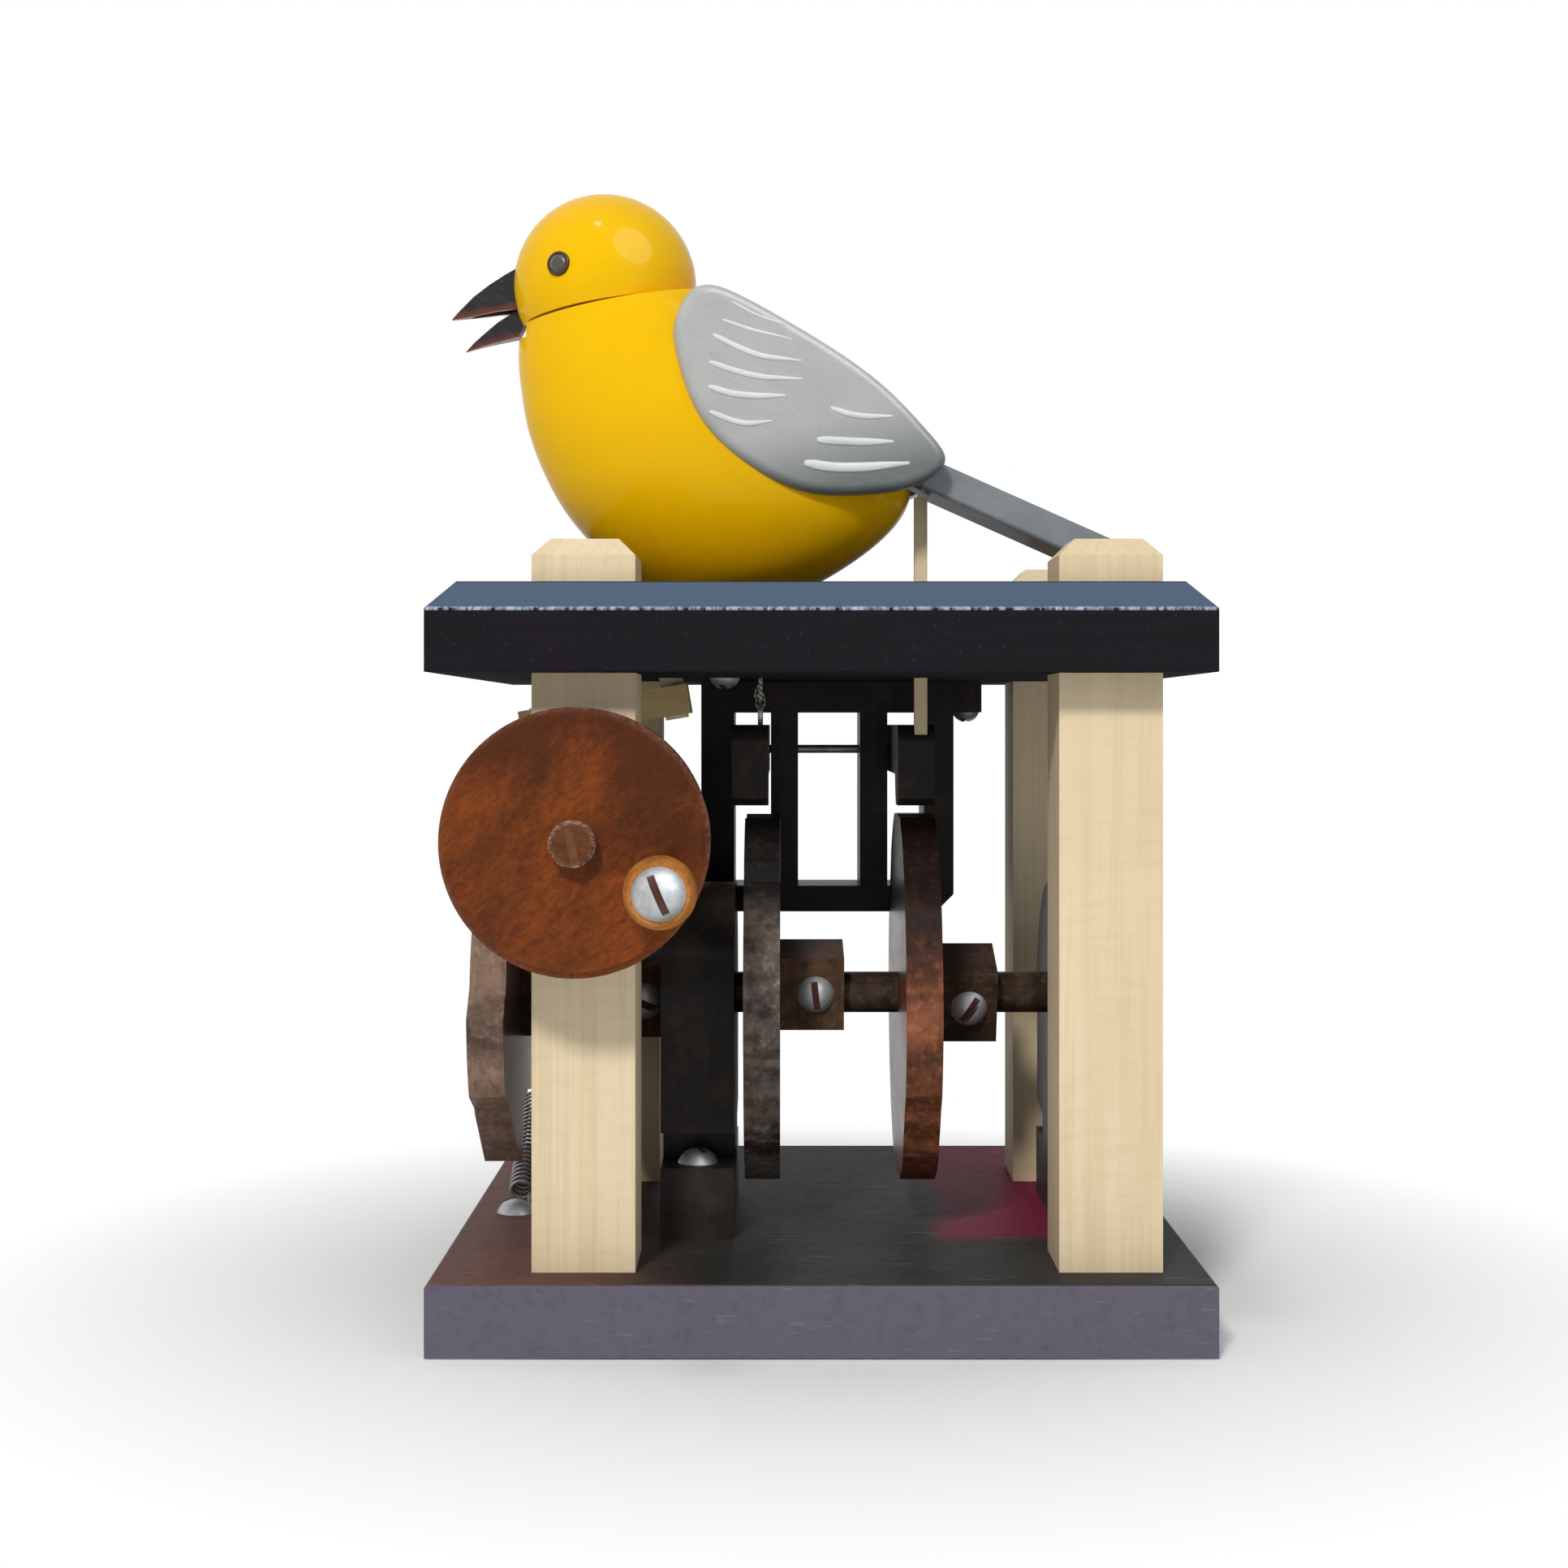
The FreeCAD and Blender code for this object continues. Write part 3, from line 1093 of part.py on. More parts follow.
def make_rocker():
    nose = Vector(ROCKER_X, NOSE_Y, ROCKER_NOSE_Z)
    crown = Vector(ROCKER_X, POST_REAR_Y, ROCKER_TOP_Z)
    discs = [(ROCKER_PIVOT, ROCKER_BOSS_R), (nose, ROCKER_NOSE_R), (crown, ROCKER_W / 2)]
    pieces = [rod(radius, centre, centre + X * ROCKER_T) for centre, radius in discs]
    pieces.append(bar_between(ROCKER_PIVOT, crown, ROCKER_W))
    rocker = bar_between(ROCKER_PIVOT, nose, ROCKER_W).fuse(pieces).removeSplitter()
    shank_r = ROCKER_SCREW_R * SHANK
    rocker = rocker.cut(rod(shank_r + RUN, ROCKER_PIVOT, ROCKER_PIVOT + X * ROCKER_T))
    rocker = rocker.cut(rod(LINK_R + LINK_PLAY / 2, crown, crown + X * ROCKER_T))
    save("head_rocker", rocker)
    pivot_screw = round_screw(ROCKER_SCREW_R, ROCKER_PIVOT - X * RUN, X, ROCKER_SCREW_LEN, ROCKER_SLOT)
    save("rocker_pivot_screw", pivot_screw)
    post_face = POST_LEFT_X - POST / 2
    spacer_start = ROCKER_PIVOT + X * (ROCKER_T + RUN)
    spacer_end = Vector(post_face, POST_REAR_Y, ROCKER_PIVOT_Z)
    spacer = rod(SPACER_R, spacer_start, spacer_end).cut(rod(shank_r + SNUG, spacer_start, spacer_end))
    save("rocker_spacer", spacer)

    corners = [
        Vector(ROCKER_X + LINK_INSET, POST_REAR_Y, ROCKER_TOP_Z),
        Vector(LINK_X, POST_REAR_Y, ROCKER_TOP_Z),
        Vector(LINK_X, BIRD_Y, ROCKER_TOP_Z),
        Vector(LINK_X, BIRD_Y, ROCKER_TOP_Z + LINK_BELOW + ARM_T / NECK_AXIS.z + LINK_TIP),
    ]
    save("head_link", bent_wire(corners, LINK_R, LINK_BEND))

    save("spring_screw", round_screw(FOOT_SCREW_R, spring_seat, -Z, SPRING_SCREW_LEN, SPRING_SLOT))
    lift = SPRING_R + SPRING_WIRE_R + SEAT
    foot = spring_seat + Vector(0, FOOT_SCREW_R + lift, lift)
    hook = polar(NOSE_Y, ROCKER_NOSE_Z, SPRING_HOOK_R, SPRING_HOOK_ANGLE) + X * SPRING_FOOT_X
    save("head_return_spring", extension_spring(foot, hook))


def bent_wire(corners, radius, bend):
    """Round wire: straight runs joined by tangent arcs."""
    edges = []
    start = corners[0]
    for index in range(1, len(corners) - 1):
        corner = corners[index]
        back = (corners[index - 1] - corner).normalize() * bend
        ahead = (corners[index + 1] - corner).normalize() * bend
        first = corner + back
        last = corner + ahead
        middle = corner + (back + ahead) * (1 - math.sqrt(0.5))
        edges.append(Part.LineSegment(start, first).toShape())
        edges.append(Part.Arc(first, middle, last).toShape())
        start = last
    edges.append(Part.LineSegment(start, corners[-1]).toShape())
    path = Part.Wire(edges)
    ring_wire = Part.Wire(Part.Circle(corners[0], corners[1] - corners[0], radius).toShape())
    return path.makePipeShell([ring_wire], True, False)


def extension_spring(foot, hook):
    """Return spring, wound between the base screw and the rocker's nose."""
    along = (hook - foot).normalize()
    helix = Part.makeHelix(SPRING_PITCH, (hook - foot).Length - 2 * SPRING_WIRE_R, SPRING_R)
    wire = Part.Wire(Part.Circle(Vector(SPRING_R, 0, 0), Y, SPRING_WIRE_R).toShape())
    spring = Part.Wire(helix).makePipeShell([wire], True, True)
    spring.Placement = FreeCAD.Placement(foot + along * SPRING_WIRE_R, FreeCAD.Rotation(Z, along))
    return spring


make_stand()
make_uprights()
make_camshaft()
make_crank()
make_lever_frame()
make_levers()
make_bird_body()
make_head()
make_rocker()
print("tail drop", round(TAIL_DROP, 3), "arm centre", ARM_CENTRE, "rocker top", round(ROCKER_TOP_Z, 3))
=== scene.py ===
# %% [markdown]
# # A hand-cranked wooden songbird
# This lesson dresses a small automaton: a bird on a black stand, moved by cams on a
# shaft. The joiner's solids come in first and stay as the fixed frame, so each new
# piece and each finish can be laid on a part that already has its true size.

# %% Load the joiner's solids
import json
import math

import bpy
from mathutils import Matrix, Vector


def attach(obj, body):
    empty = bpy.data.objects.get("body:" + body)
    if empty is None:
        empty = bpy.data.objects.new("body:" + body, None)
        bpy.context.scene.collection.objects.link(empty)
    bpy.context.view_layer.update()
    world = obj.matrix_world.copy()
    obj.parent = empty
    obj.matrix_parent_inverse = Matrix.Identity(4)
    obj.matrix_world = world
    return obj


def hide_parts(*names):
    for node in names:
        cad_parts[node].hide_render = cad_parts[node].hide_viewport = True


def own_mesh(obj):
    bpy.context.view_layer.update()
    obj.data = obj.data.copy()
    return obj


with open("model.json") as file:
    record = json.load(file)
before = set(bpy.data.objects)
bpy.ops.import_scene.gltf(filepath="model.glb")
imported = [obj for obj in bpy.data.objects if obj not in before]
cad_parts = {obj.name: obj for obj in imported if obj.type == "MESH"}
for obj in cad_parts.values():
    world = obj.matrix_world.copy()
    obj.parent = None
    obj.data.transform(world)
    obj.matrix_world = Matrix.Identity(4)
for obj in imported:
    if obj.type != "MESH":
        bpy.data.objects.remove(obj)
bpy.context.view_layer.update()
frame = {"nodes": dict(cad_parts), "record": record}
nodes = frame["nodes"]
bpy.ops.object.select_all(action="DESELECT")

# %% [markdown]
# ## The camera
# The toy is seen square on from the front, a little below the top plate. A level
# camera keeps the four posts upright, and a small lens shift frames the stand
# without tilting it.

# %% Set up the camera
EYE_POINT = (-0.0059, -0.414, 0.0956)
LENS = 54.04
SHIFT = (0.001, -0.0378)

bpy.ops.object.camera_add(location=EYE_POINT, rotation=(math.radians(90), 0, 0))
camera = bpy.context.object
camera.data.lens = LENS
camera.data.sensor_width = 36
camera.data.shift_x, camera.data.shift_y = SHIFT
camera.data.clip_start = 0.01
camera.data.clip_end = 50
bpy.context.scene.camera = camera
bpy.context.scene.view_settings.view_transform = "Standard"
print("camera at", tuple(camera.location))

# %% [markdown]
# ## A small language for finishes
# A finish is a web of nodes, and long webs are hard to read in Python. `Signal`
# wraps one output, so that `0.3 + grain * 0.5` adds the Math nodes by itself.
# `Web` makes every other node through one method, settings first and then sockets,
# and `Finish` is the web of one material.


# %% Signals and finishes
class Signal:
    """One value inside a web. Sums and products of signals become Math nodes."""

    def __init__(self, web, socket):
        self.web = web
        self.socket = socket

    def _math(self, operation, first, second=0.0):
        return self.web.node("ShaderNodeMath", {"operation": operation}, {0: first, 1: second})

    def __add__(self, other):
        return self._math("ADD", self, other)

    __radd__ = __add__

    def __sub__(self, other):
        return self._math("SUBTRACT", self, other)

    def __rsub__(self, other):
        return self._math("SUBTRACT", other, self)

    def __mul__(self, other):
        return self._math("MULTIPLY", self, other)

    __rmul__ = __mul__

    def __pow__(self, other):
        return self._math("POWER", self, other)

    def __abs__(self):
        return self._math("ABSOLUTE", self)

    def most(self, other):
        return self._math("MAXIMUM", self, other)

    def least(self, other):
        return self._math("MINIMUM", self, other)

    def sine(self):
        return self._math("SINE", self)

    def bearing(self, other):
        """The angle of the point (other, self), as atan2 gives it."""
        return self._math("ARCTAN2", self, other)

    def inside(self, low, high, soft):
        """1 between low and high, and 0 outside, with a soft edge."""
        return self.between(low, low + soft) * self.between(high - soft, high, 1.0, 0.0)

    def between(self, low, high, start=0.0, end=1.0):
        """The signal's run from low to high, spread over start to end and held there."""
        sockets = {0: self, 1: low, 2: high, 3: start, 4: end}
        return self.web.node("ShaderNodeMapRange", {"clamp": True}, sockets)


class Web:
    """A node tree, with one method that adds any node to it."""

    def __init__(self, tree):
        self.tree = tree

    def node(self, kind, settings=None, sockets=None, out=0):
        """Adds a node. Sockets are set to a value or joined to a signal."""
        made = self.tree.nodes.new(kind)
        for key, value in (settings or {}).items():
            setattr(made, key, value)
        for key, value in (sockets or {}).items():
            self.join(value, made.inputs[key])
        return Signal(self, made.outputs[out])

    def join(self, value, socket):
        if isinstance(value, Signal):
            self.tree.links.new(value.socket, socket)
        else:
            socket.default_value = value

    def seen(self):
        """1 on rays that come from the camera, straight or by way of a shine or glass."""
        names = ("Is Camera Ray", "Is Glossy Ray", "Is Transmission Ray")
        straight, shine, glass = [self.node("ShaderNodeLightPath", out=name) for name in names]
        return straight.most(shine).most(glass)


class Finish(Web):
    """The web of one material, with the patterns that the finishes share."""

    def __init__(self, name, roughness=0.5, **shader):
        self.material = bpy.data.materials.new(name)
        self.material.use_nodes = True
        super().__init__(self.material.node_tree)
        self.surface = self.tree.nodes["Principled BSDF"]
        self.set("Roughness", roughness)
        for socket, value in shader.items():
            self.set(socket.replace("_", " "), value)

    def set(self, socket, value):
        self.join(value, self.surface.inputs[socket])

    def place(self, scale=(1, 1, 1), turn=(0, 0, 0)):
        """Where a point lies on the piece, in metres, turned and then stretched."""
        spot = self.node("ShaderNodeTexCoord", out=3)
        turned = self.node("ShaderNodeMapping", {"vector_type": "POINT"}, {0: spot, 2: turn})
        return self.node("ShaderNodeVectorMath", {"operation": "MULTIPLY"}, {0: turned, 1: scale})

    def split(self, where):
        """The three coordinates of a place, each as its own signal."""
        apart = self.node("ShaderNodeSeparateXYZ", None, {0: where})
        return [Signal(self, socket) for socket in apart.socket.node.outputs]

    def noise(self, where, scale, detail=4.0, rough=0.55, warp=0.0):
        sockets = {
            "Vector": where, "Scale": scale, "Detail": detail,
            "Roughness": rough, "Distortion": warp,
        }
        return self.node("ShaderNodeTexNoise", None, sockets)

    def crevice(self, reach):
        """1 deep in a narrow slot or corner of the piece, 0 on its open faces."""
        settings = {"samples": 8, "only_local": True}
        open_share = self.node("ShaderNodeAmbientOcclusion", settings, {"Distance": reach}, out=1)
        return open_share.between(0.62, 0.97, 1.0, 0.0)

    def blend(self, factor, first, second):
        """The first colour where the factor is 0, and the second where it is 1."""
        settings = {"data_type": "RGBA", "clamp_factor": True}
        return self.node("ShaderNodeMix", settings, {0: factor, 6: first, 7: second}, out=2)

    def relief(self, height, depth, strength=1.0):
        """Turns a height signal into a bumpy normal. Depth is in metres."""
        sockets = {"Strength": strength, "Distance": depth, "Height": height}
        self.set("Normal", self.node("ShaderNodeBump", None, sockets))


def tint(red, green, blue):
    """A colour given as 0 to 255 on screen, as the light value that the shader wants."""
    levels = [c / 255 for c in (red, green, blue)]
    light = [c / 12.92 if c <= 0.04045 else ((c + 0.055) / 1.055) ** 2.4 for c in levels]
    return (*light, 1.0)


def toned(colour, share):
    """A colour, 0 to 255, made darker or lighter by a share, as the shader wants it."""
    return tint(*(min(255, c * share) for c in colour))


finishes = {}
print("finish tools ready")

# %% [markdown]
# ## Bare pale wood
# The posts are planed from a pale, close-grained softwood. Early and late wood make
# fine lines that run up the post, with a faint ripple across them. Noise stretched
# along the grain gives the lines, and a slower one lays broader bands under them.


# %% Pale wood
def pale_wood(name, turn=(0, 0, 0), light=(235, 216, 181), dark=(222, 200, 161)):
    """Planed softwood. Its grain runs up, or as turn lays it."""
    wood = Finish(name, roughness=0.62, IOR=1.2)
    lines = wood.noise(wood.place(scale=(1, 1, 0.022), turn=turn), 1150, 3, 0.62)
    bands = wood.noise(wood.place(scale=(1, 1, 0.05), turn=turn), 190, 2, 0.5, 0.5)
    ripple = wood.noise(wood.place(scale=(1, 1, 5), turn=turn), 120, 3)
    cloud = wood.noise(wood.place(), 45, 2)
    tone = wood.blend(bands.between(0.36, 0.68) * 0.5, tint(*light), tint(*dark))
    tone = wood.blend(lines.between(0.48, 0.74) * 0.3, tone, toned(dark, 0.86))
    tone = wood.blend(ripple.between(0.5, 0.75) * 0.14, tone, toned(dark, 0.84))
    tone = wood.blend(cloud.between(0.45, 0.7) * 0.2, tone, toned(light, 1.05))
    wood.set("Base Color", tone)
    wood.set("Roughness", 0.56 + lines * 0.16)
    wood.relief(lines * 0.7 + ripple * 0.3, 0.0001, 0.5)
    return wood.material


LAID_ALONG = (0, math.radians(90), 0)
finishes["maple"] = pale_wood("pale_wood")
# The neck arm's copy is painted darker and browner than the posts, as painted shade: it sits in
# shade under the top plate.
finishes["shaded_maple"] = pale_wood(
    "shaded_pale_wood", LAID_ALONG, light=(204, 180, 132), dark=(180, 154, 106)
)
print("finish:", finishes["maple"].name)

# %% [markdown]
# ## Oiled rosewood
# The crank disc is a flat-sawn slice of red-brown wood. Its grain runs slantwise, with
# darker clouds, short pores and a thin shine of oil.


# %% Oiled rosewood
OIL_SHINE = 0.4


def oiled_wood(name, tones, turn=(0, 0, 0), scale=1.0, rim=None, wear_and_highlight=(186, 158, 140)):
    """Mottled, oily hardwood in three tones, from light to deep, with a dark heart above and beside
    the shaft. A rim is (x, z, radius, width): that edge is painted paler in broken flecks, as a
    painted highlight where it catches the light."""
    light, middle, deep = tones
    wood = Finish(name, roughness=OIL_SHINE, IOR=1.12, Coat_Weight=0.1, Coat_Roughness=0.2)
    across, _, height = wood.split(wood.place())
    clouds = wood.noise(wood.place(scale=(0.55, 1, 1), turn=turn), 46 * scale, 3, 0.6, 1.4)
    mottle = wood.noise(wood.place(scale=(0.6, 1, 1), turn=turn), 560 * scale, 5, 0.78, 1.2)
    fibres = wood.noise(wood.place(scale=(0.3, 1, 1), turn=turn), 1300 * scale, 4, 0.7, 0.8)
    heart = height.between(0.084, 0.096) * 0.9
    heart = heart + across.between(-0.034, -0.024) * height.between(0.07, 0.08) * 0.5
    heart = heart + across.between(-0.05, -0.04, 1.0, 0.0) * 0.35
    tone = wood.blend(mottle.between(0.36, 0.68) * 0.8, tint(*light), tint(*middle))
    shadow = (clouds * 0.7 + mottle * 0.3 + heart * 0.35).between(0.46, 0.74)
    tone = wood.blend(shadow * 0.8, tone, tint(*deep))
    tone = wood.blend(fibres.between(0.5, 0.7) * 0.35, tone, toned(deep, 0.55))
    if rim:
        x, z, radius, width = rim
        reach = ((across - x) ** 2.0 + (height - z) ** 2.0) ** 0.5
        # Painted highlight: the rim is painted paler where its edge catches the light.
        edge = reach.between(radius - width, radius - width * 0.2) * fibres.between(0.46, 0.6)
        tone = wood.blend(edge * 0.7, tone, tint(*wear_and_highlight))
    wood.set("Base Color", tone)
    wood.set("Roughness", OIL_SHINE - 0.05 + mottle * 0.18)
    wood.relief(fibres * 0.6 + mottle * 0.4, 0.00006, 0.5)
    return wood.material


SHAFT_AXIS = (-0.0366, 0.0782)
# Both rims get a painted highlight: a paler, broken line where the edge catches the light.
DISC_RIM = (*SHAFT_AXIS, 0.02, 0.0008)
SHAFT_RIM = (*SHAFT_AXIS, 0.0035, 0.0008)
finishes["rosewood"] = oiled_wood(
    "oiled_rosewood", [(138, 70, 27), (104, 51, 22), (66, 35, 22)],
    turn=(0, math.radians(38), 0), rim=DISC_RIM, wear_and_highlight=(136, 92, 70)
)
finishes["shaft_end"] = oiled_wood(
    "shaft_end_grain", [(112, 68, 42), (84, 48, 28), (54, 31, 21)], scale=2.2, rim=SHAFT_RIM
)
finishes["wedge"] = oiled_wood(
    "pale_wedge", [(122, 80, 54), (92, 57, 38), (60, 37, 26)], scale=2.4, rim=SHAFT_RIM
)
finishes["knob_wood"] = oiled_wood(
    "knob_wood", [(206, 138, 66), (172, 104, 48), (122, 70, 34)],
    turn=(0, math.radians(80), 0), scale=1.8
)
print("finishes:", finishes["rosewood"].name, finishes["knob_wood"].name)

# %% [markdown]
# ## Cams, hubs and shaft
# The running parts are a brown hardwood, stained black and then handled. The stain has
# rubbed thin on the rims, so orange-brown wood shows in patches, and the dark places
# have a dull polish. One noise says where the stain is worn, a finer one breaks it up.


# %% Worn walnut
NOWHERE = 9.0  # a height above every piece
SHADE_BLACK = (26, 25, 26)


def worn_wood(
    name, bare, stain, turn=(0, 0, 0), wear=(0.42, 0.64), shine=0.34, black_above=NOWHERE, coat=0.3
):
    """Stained wood, worn in patches, and painted black above a height in metres, as painted shade.
    """
    wood = Finish(
        name, roughness=shine, IOR=1.14, Coat_Weight=coat, Coat_Roughness=0.22, Coat_IOR=1.3
    )
    patch = wood.noise(wood.place(scale=(0.2, 0.2, 1), turn=turn), 105, 3, 0.6, 0.3)
    crumble = wood.noise(wood.place(turn=turn), 520, 4, 0.72)
    grain = wood.noise(wood.place(scale=(1, 1, 0.1), turn=turn), 1000, 3, 0.6)
    worn = (patch * 0.7 + crumble * 0.3).between(*wear)
    # Painted shade: the piece is painted black above the height black_above.
    top_shade = wood.split(wood.place())[2].between(black_above, black_above + 0.008) * 0.85
    tone = wood.blend(worn, tint(*stain), tint(*bare))
    tone = wood.blend(crumble.between(0.56, 0.74) * 0.35, tone, toned(bare, 1.4))
    tone = wood.blend(top_shade, tone, tint(*SHADE_BLACK))
    tone = wood.blend(grain.between(0.5, 0.75) * 0.45, tone, toned(stain, 0.5))
    wood.set("Base Color", tone)
    wood.set("Roughness", shine - 0.08 + worn * 0.14 + crumble * 0.16)
    wood.relief(crumble * 0.6 + grain * 0.4, 0.00018, 0.6)
    return wood.material


finishes["walnut"] = worn_wood("worn_walnut", (110, 82, 64), (60, 49, 42), coat=0.05, shine=0.5)
finishes["cam_grey"] = worn_wood(
    "worn_grey_walnut", (148, 122, 108), (76, 60, 53), wear=(0.36, 0.6)
)
# The slate and copper cams get painted shade: black above black_above.
finishes["cam_slate"] = worn_wood("worn_slate", (136, 124, 114), (50, 42, 40), black_above=0.06)
finishes["cam_copper"] = worn_wood("worn_copper", (150, 92, 64), (66, 42, 33), black_above=0.055)
finishes["shaft"] = worn_wood("turned_walnut", (104, 82, 67), (56, 45, 38), LAID_ALONG)
worn_slots = ("walnut", "cam_grey", "cam_slate", "cam_copper", "shaft")
print("finishes:", [finishes[slot].name for slot in worn_slots])

# %% [markdown]
# ## Black lacquer and black stain
# The two plates are lacquered and polished. Light picks out dust specks and slow waves
# in the coat, and warm wood shows through where it is thin. The uprights and
# levers are only stained, so they stay duller and show their grain.


# %% Top plate lacquer
TOP_UNDER = 0.1037
TOP_SHOULDER = 0.1132
TOP_FACE = 0.1175


def polished_black(name, side, slope):
    """Black lacquer. The plate's sloped edge, above its shoulder, is painted sky blue, as a painted
    reflection of the sky, and the line at the slope's foot is painted pale in broken flecks, as a
    painted highlight."""
    coat = Finish(name, roughness=0.4, IOR=1.12, Coat_Roughness=0.1, Coat_IOR=1.35)
    where = coat.place()
    height = coat.split(where)[2]
    spread = coat.noise(where, 26, 3, 0.5, 0.6)
    grain = coat.noise(coat.place(scale=(0.05, 1, 1)), 700, 3)
    line_breaks = coat.noise(coat.place(scale=(1, 1, 0.1)), 900, 3, 0.7)
    specks = coat.noise(where, 2600, 2, 0.7)
    dust = specks.between(0.68, 0.76)
    tone = coat.blend(spread.between(0.5, 0.7) * 0.7, tint(*side), tint(38, 24, 42))
    tone = coat.blend(grain.between(0.45, 0.75) * 0.3, tone, toned(side, 0.6))
    upper = height.between(TOP_SHOULDER - 0.0001, TOP_SHOULDER + 0.0001)
    level = height.between(TOP_FACE - 0.0002, TOP_FACE - 0.0001)
    # Painted reflection: the sloped edge is painted the blue of the sky that it mirrors.
    tone = coat.blend(upper, tone, tint(*slope))
    top_tone = coat.blend(spread.between(0.45, 0.65), tint(33, 35, 41), tint(44, 47, 55))
    tone = coat.blend(level, tone, top_tone)
    # Painted highlight: a broken pale line along the foot of the slope, where the edge catches the
    # light.
    wear_and_highlight = height.inside(TOP_SHOULDER - 0.00035, TOP_SHOULDER + 0.0003, 0.0001)
    wear_and_highlight = wear_and_highlight * line_breaks.between(0.4, 0.62)
    tone = coat.blend(wear_and_highlight.least(1.0), tone, tint(178, 190, 206))
    tone = coat.blend(dust * 0.3, tone, tint(120, 118, 128))
    coat.set("Base Color", tone)
    under = height.between(TOP_UNDER, TOP_UNDER + 0.0003, 1.0, 0.0)
    coat.set("Roughness", (0.36 + dust * 0.2 + grain * 0.12).most(under))
    coat.set("Coat Weight", upper * 0.5 + 0.06 - under * 0.06)
    coat.relief(spread * 0.8 + specks * 0.05, 0.0003, 0.3)
    return coat.material


# The second colour is the painted sky reflection on the sloped edge.
finishes["black_lacquer"] = polished_black("black_lacquer", (27, 27, 31), (74, 92, 116))
print("finish:", finishes["black_lacquer"].name)


# %% Base plate lacquer
BASE_SIDE = 0.060
BASE_FRONT = 0.059
EDGE_START = 0.0004
EDGE_FULL = 0.0002


def thin_black(name):
    """The same lacquer, worn thin, with a brown and a maroon stain on its top. Its four side faces
    are painted a lighter purple-grey, as painted light."""
    coat = Finish(name, roughness=0.5, IOR=1.1)
    where = coat.place()
    across, back, _ = coat.split(where)
    broad = coat.noise(where, 30, 4, 0.6, 0.5)
    fine = coat.noise(where, 520, 4, 0.7)
    rubbed_way = (0, 0, math.radians(8))
    scratch = coat.noise(coat.place(scale=(0.05, 1, 1), turn=rubbed_way), 1300, 2)
    tone = coat.blend(broad.between(0.4, 0.65) * 0.6, tint(48, 48, 46), tint(68, 64, 62))
    left = (across + (broad - 0.5) * 0.02).between(-0.044, -0.02, 1.0, 0.0)
    tone = coat.blend(left * 0.8, tone, tint(112, 78, 70))
    ragged = (broad - 0.5) * 0.012 + (fine - 0.5) * 0.004
    ruddy = (across + ragged).inside(0.018, 0.046, 0.005) * (back + ragged).between(-0.029, -0.022)
    tone = coat.blend(ruddy * (0.75 + broad * 0.4), tone, tint(132, 38, 66))
    # Painted light: the four side faces are painted a lighter purple-grey, as they catch the light.
    ends = abs(across).between(BASE_SIDE - EDGE_START, BASE_SIDE - EDGE_FULL)
    fronts = abs(back).between(BASE_FRONT - EDGE_START, BASE_FRONT - EDGE_FULL)
    tone = coat.blend(ends.most(fronts), tone, tint(102, 99, 113))
    tone = coat.blend(scratch.between(0.64, 0.74) * 0.35, tone, tint(136, 132, 142))
    tone = coat.blend(fine.between(0.5, 0.75) * 0.25, tone, tint(52, 48, 50))
    coat.set("Base Color", tone)
    coat.set("Roughness", 0.42 + fine * 0.2)
    coat.relief(fine * 0.5 + broad * 0.3 - scratch * 0.2, 0.00014, 0.5)
    return coat.material


finishes["base_lacquer"] = thin_black("thin_black_lacquer")
print("finish:", finishes["base_lacquer"].name)


# %% Black stain
def stained(name, tone, worn):
    """Matt black stain that shows upright grain, rubbed paler in soft patches and scuffed."""
    stain = Finish(name, roughness=0.42, IOR=1.14, Coat_Weight=0.1, Coat_Roughness=0.2)
    grain = stain.noise(stain.place(scale=(1, 1, 0.08)), 800, 3, 0.6, 0.2)
    wear_and_highlight = stain.noise(stain.place(), 120, 5, 0.65, 0.3)
    scuffs = stain.noise(stain.place(), 1500, 3, 0.7)
    colour = stain.blend(wear_and_highlight.between(0.5, 0.72) * 0.7, tint(*tone), tint(*worn))
    colour = stain.blend(grain.between(0.5, 0.8) * 0.4, colour, toned(tone, 0.6))
    colour = stain.blend(scuffs.between(0.66, 0.74) * 0.45, colour, tint(96, 86, 80))
    stain.set("Base Color", colour)
    stain.set("Roughness", 0.34 + grain * 0.2 + scuffs * 0.1)
    stain.relief(grain * 0.6 + scuffs * 0.3, 0.00016, 0.5)
    return stain.material


finishes["black_stain"] = stained("black_stain", (43, 39, 37), (72, 61, 54))
print("finish:", finishes["black_stain"].name)

# %% [markdown]
# ## Brushed paint
# The bird is turned and carved, then painted with gloss enamel by brush. The coat is
# warm yellow, painted deeper under the belly as painted shade. The wings and tail
# have a thinner, satin grey coat, in which the wood's texture still shows; their lower
# edges and the tail's underside are painted darker, as painted shade.


